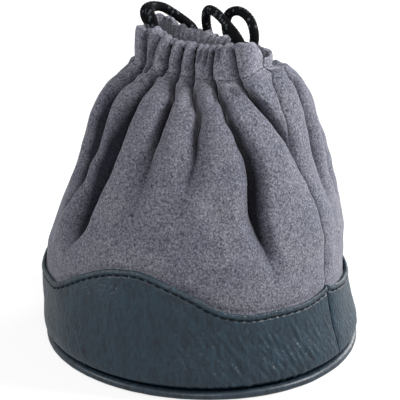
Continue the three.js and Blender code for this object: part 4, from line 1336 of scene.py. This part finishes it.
def even_outline(corners, step, bevel_turns=2):
    """Even points along a line of corners that is rounded by cutting its corners."""
    points = np.array(corners)
    for _ in range(bevel_turns):
        before, after = points[:-1], points[1:]
        cut = np.stack([before * 0.75 + after * 0.25, before * 0.25 + after * 0.75], 1).reshape(-1, 2)
        points = np.vstack([points[:1], cut, points[-1:]])
    travelled = distances(points)
    even = np.linspace(0, travelled[-1], max(4, int(travelled[-1] / step)))
    return at_distances(even, travelled, points)


def bead_outline(share=1.0):
    turn = np.linspace(0, 2 * math.pi, 30, endpoint=False)
    ring = BEAD_OUTSIDE - BEAD_RADIUS
    reach = (BEAD_RADIUS - BEAD_CUT) * share
    return np.stack([ring + reach * np.cos(turn), BEAD_RADIUS - reach * np.sin(turn)], -1)


piece = turned("bottom_bead", bead_outline(), 720, bead_leather, 0.00003, 0.006, 51)
settle(piece, "piping_cover")

low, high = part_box("bottom_disc")
corners = [(DISC_AXIS, high.z), (high.x, high.z)]
corners += [(high.x + out, height) for out, height in UNDERSIDE_LIP]
corners += [(high.x * UNDERSIDE_DIP_SHARE, UNDERSIDE_DIP), (DISC_AXIS, UNDERSIDE_MIDDLE)]
piece = turned("underside", even_outline(corners, 0.0009, 1), 300, leather, 0.00008, 0.012, 52, solid=True)
settle(piece, "bottom_disc")

low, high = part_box("bottom_foam")
crown = (high.z - low.z) * FOAM_CROWN_SHARE
corners = [(DISC_AXIS, high.z), (high.x * FOAM_FLAT_SHARE, high.z - crown / 2)]
corners += [(high.x - FOAM_TOP_ROUND, high.z - crown), (high.x, (low.z + high.z) / 2)]
corners += [(high.x - FOAM_FOOT_ROUND, low.z), (DISC_AXIS, low.z)]
piece = turned("bottom_padding", even_outline(corners, 0.0020), 160, foam, 0.00010, 0.010, 53, solid=True)
settle(piece, "bottom_foam")

low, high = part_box("wall_foam")
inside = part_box("wall_lining")[1].x + FOAM_LINING_GAP
outside = high.x - FOAM_INSET
foot, top = low.z + FOAM_FOOT_BEVEL, high.z - FOAM_TOP_BEVEL
corners = [(outside, foot), (outside, top), (outside - FOAM_OUT_BEVEL, high.z)]
corners += [(inside + FOAM_IN_BEVEL, high.z), (inside, top), (inside, foot)]
corners += [(outside - FOAM_OUT_BEVEL, low.z), (outside, foot)]
piece = turned("wall_padding", even_outline(corners, 0.0016)[:-1], 240, foam, 0.00008, 0.014, 54)
settle(piece, "wall_foam")

low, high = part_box("wall_lining")
top = high.z - LINING_BEVEL
corners = [(high.x, low.z), (high.x, top), (high.x - LINING_EDGE, high.z), (high.x - LINING_THICKNESS, top)]
corners += [(high.x - LINING_THICKNESS, low.z), (high.x, low.z)]
piece = turned("side_lining", even_outline(corners, 0.0011, 1)[:-1], 360, lining, 0.00022, 0.012, 55)
settle(piece, "wall_lining")

low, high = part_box("bottom_lining")
corners = [(DISC_AXIS, high.z), (high.x - LINING_EDGE, high.z), (high.x, (low.z + high.z) / 2)]
corners += [(high.x - LINING_EDGE, low.z), (DISC_AXIS, low.z)]
piece = turned("floor_lining", even_outline(corners, 0.0014, 1), 240, lining, 0.00008, 0.014, 56, solid=True)
settle(piece, "bottom_lining")

low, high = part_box("bottom_board")
corners = [(DISC_AXIS, high.z), (high.x, high.z), (high.x, low.z), (DISC_AXIS, low.z)]
outline = even_outline(corners, 0.0012, 1)
piece = turned("bottom_stiffener", outline, 240, board, 0.00002, 0.014, 57, solid=True)
settle(piece, "bottom_board")

piece = turned("bead_filler", bead_outline(FILLER_SHARE), 480, filler, 0.00005, 0.002, 58)
settle(piece, "piping_core")


# Stage
def make_stage():
    mesh = bpy.data.meshes.new("floor")
    size = FLOOR_HALF_SIZE
    corners = [(-size, -size, 0), (size, -size, 0), (size, size, 0), (-size, size, 0)]
    mesh.from_pydata(corners, [], [(0, 1, 2, 3)])
    floor = bpy.data.objects.new("floor", mesh)
    bpy.context.scene.collection.objects.link(floor)
    material = bpy.data.materials.new("floor")
    material.use_nodes = True
    tree = material.node_tree
    tree.nodes.clear()
    path = node(tree, "ShaderNodeLightPath")
    diffuse = node(tree, "ShaderNodeBsdfDiffuse", Color=(FLOOR_GREY, FLOOR_GREY, FLOOR_GREY, 1))
    lift = math_node(tree, "MULTIPLY", path.outputs["Is Camera Ray"], FLOOR_SEEN)
    gloss = math_node(tree, "MULTIPLY", path.outputs["Is Glossy Ray"], FLOOR_GLOSS)
    lift = math_node(tree, "MAXIMUM", lift, gloss)
    glow = node(tree, "ShaderNodeEmission", [("Strength", lift)])
    both = node(tree, "ShaderNodeAddShader", [(0, diffuse.outputs[0]), (1, glow.outputs[0])])
    node(tree, "ShaderNodeOutputMaterial", [("Surface", both.outputs[0])])
    mesh.materials.append(material)

    world = bpy.data.worlds.new("world")
    bpy.context.scene.world = world
    world.use_nodes = True
    tree = world.node_tree
    tree.nodes.clear()
    path = node(tree, "ShaderNodeLightPath")
    ambient = node(tree, "ShaderNodeBackground", Color=(1, 1, 1, 1), Strength=WORLD_LIGHT)
    white = node(tree, "ShaderNodeBackground", Color=(1, 1, 1, 1), Strength=1.0)
    seen = math_node(tree, "MAXIMUM", path.outputs["Is Camera Ray"], path.outputs["Is Transmission Ray"])
    gloss = math_node(tree, "MULTIPLY", path.outputs["Is Glossy Ray"], WORLD_GLOSS)
    seen = math_node(tree, "MAXIMUM", seen, gloss)
    mixed = node(tree, "ShaderNodeMixShader", [(0, seen), (1, ambient.outputs[0]), (2, white.outputs[0])])
    node(tree, "ShaderNodeOutputWorld", [("Surface", mixed.outputs[0])])


def area_lamp(name, azimuth, elevation, distance, size, power):
    """Soft lamp that looks at the pouch."""
    data = bpy.data.lights.new(name, "AREA")
    data.shape = "DISK"
    data.size = size
    data.energy = power
    lamp = bpy.data.objects.new(name, data)
    bpy.context.scene.collection.objects.link(lamp)
    a, e = math.radians(azimuth), math.radians(elevation)
    back = Vector((math.sin(a) * math.cos(e), -math.cos(a) * math.cos(e), math.sin(e)))
    lamp.location = Vector((0, 0, LAMP_AIM_HEIGHT)) + back * distance
    lamp.rotation_mode = "QUATERNION"
    lamp.rotation_quaternion = (-back).to_track_quat("-Z", "Y")


make_stage()
for lamp in LAMPS:
    area_lamp(*lamp)

bpy.context.scene.view_settings.view_transform = "Standard"
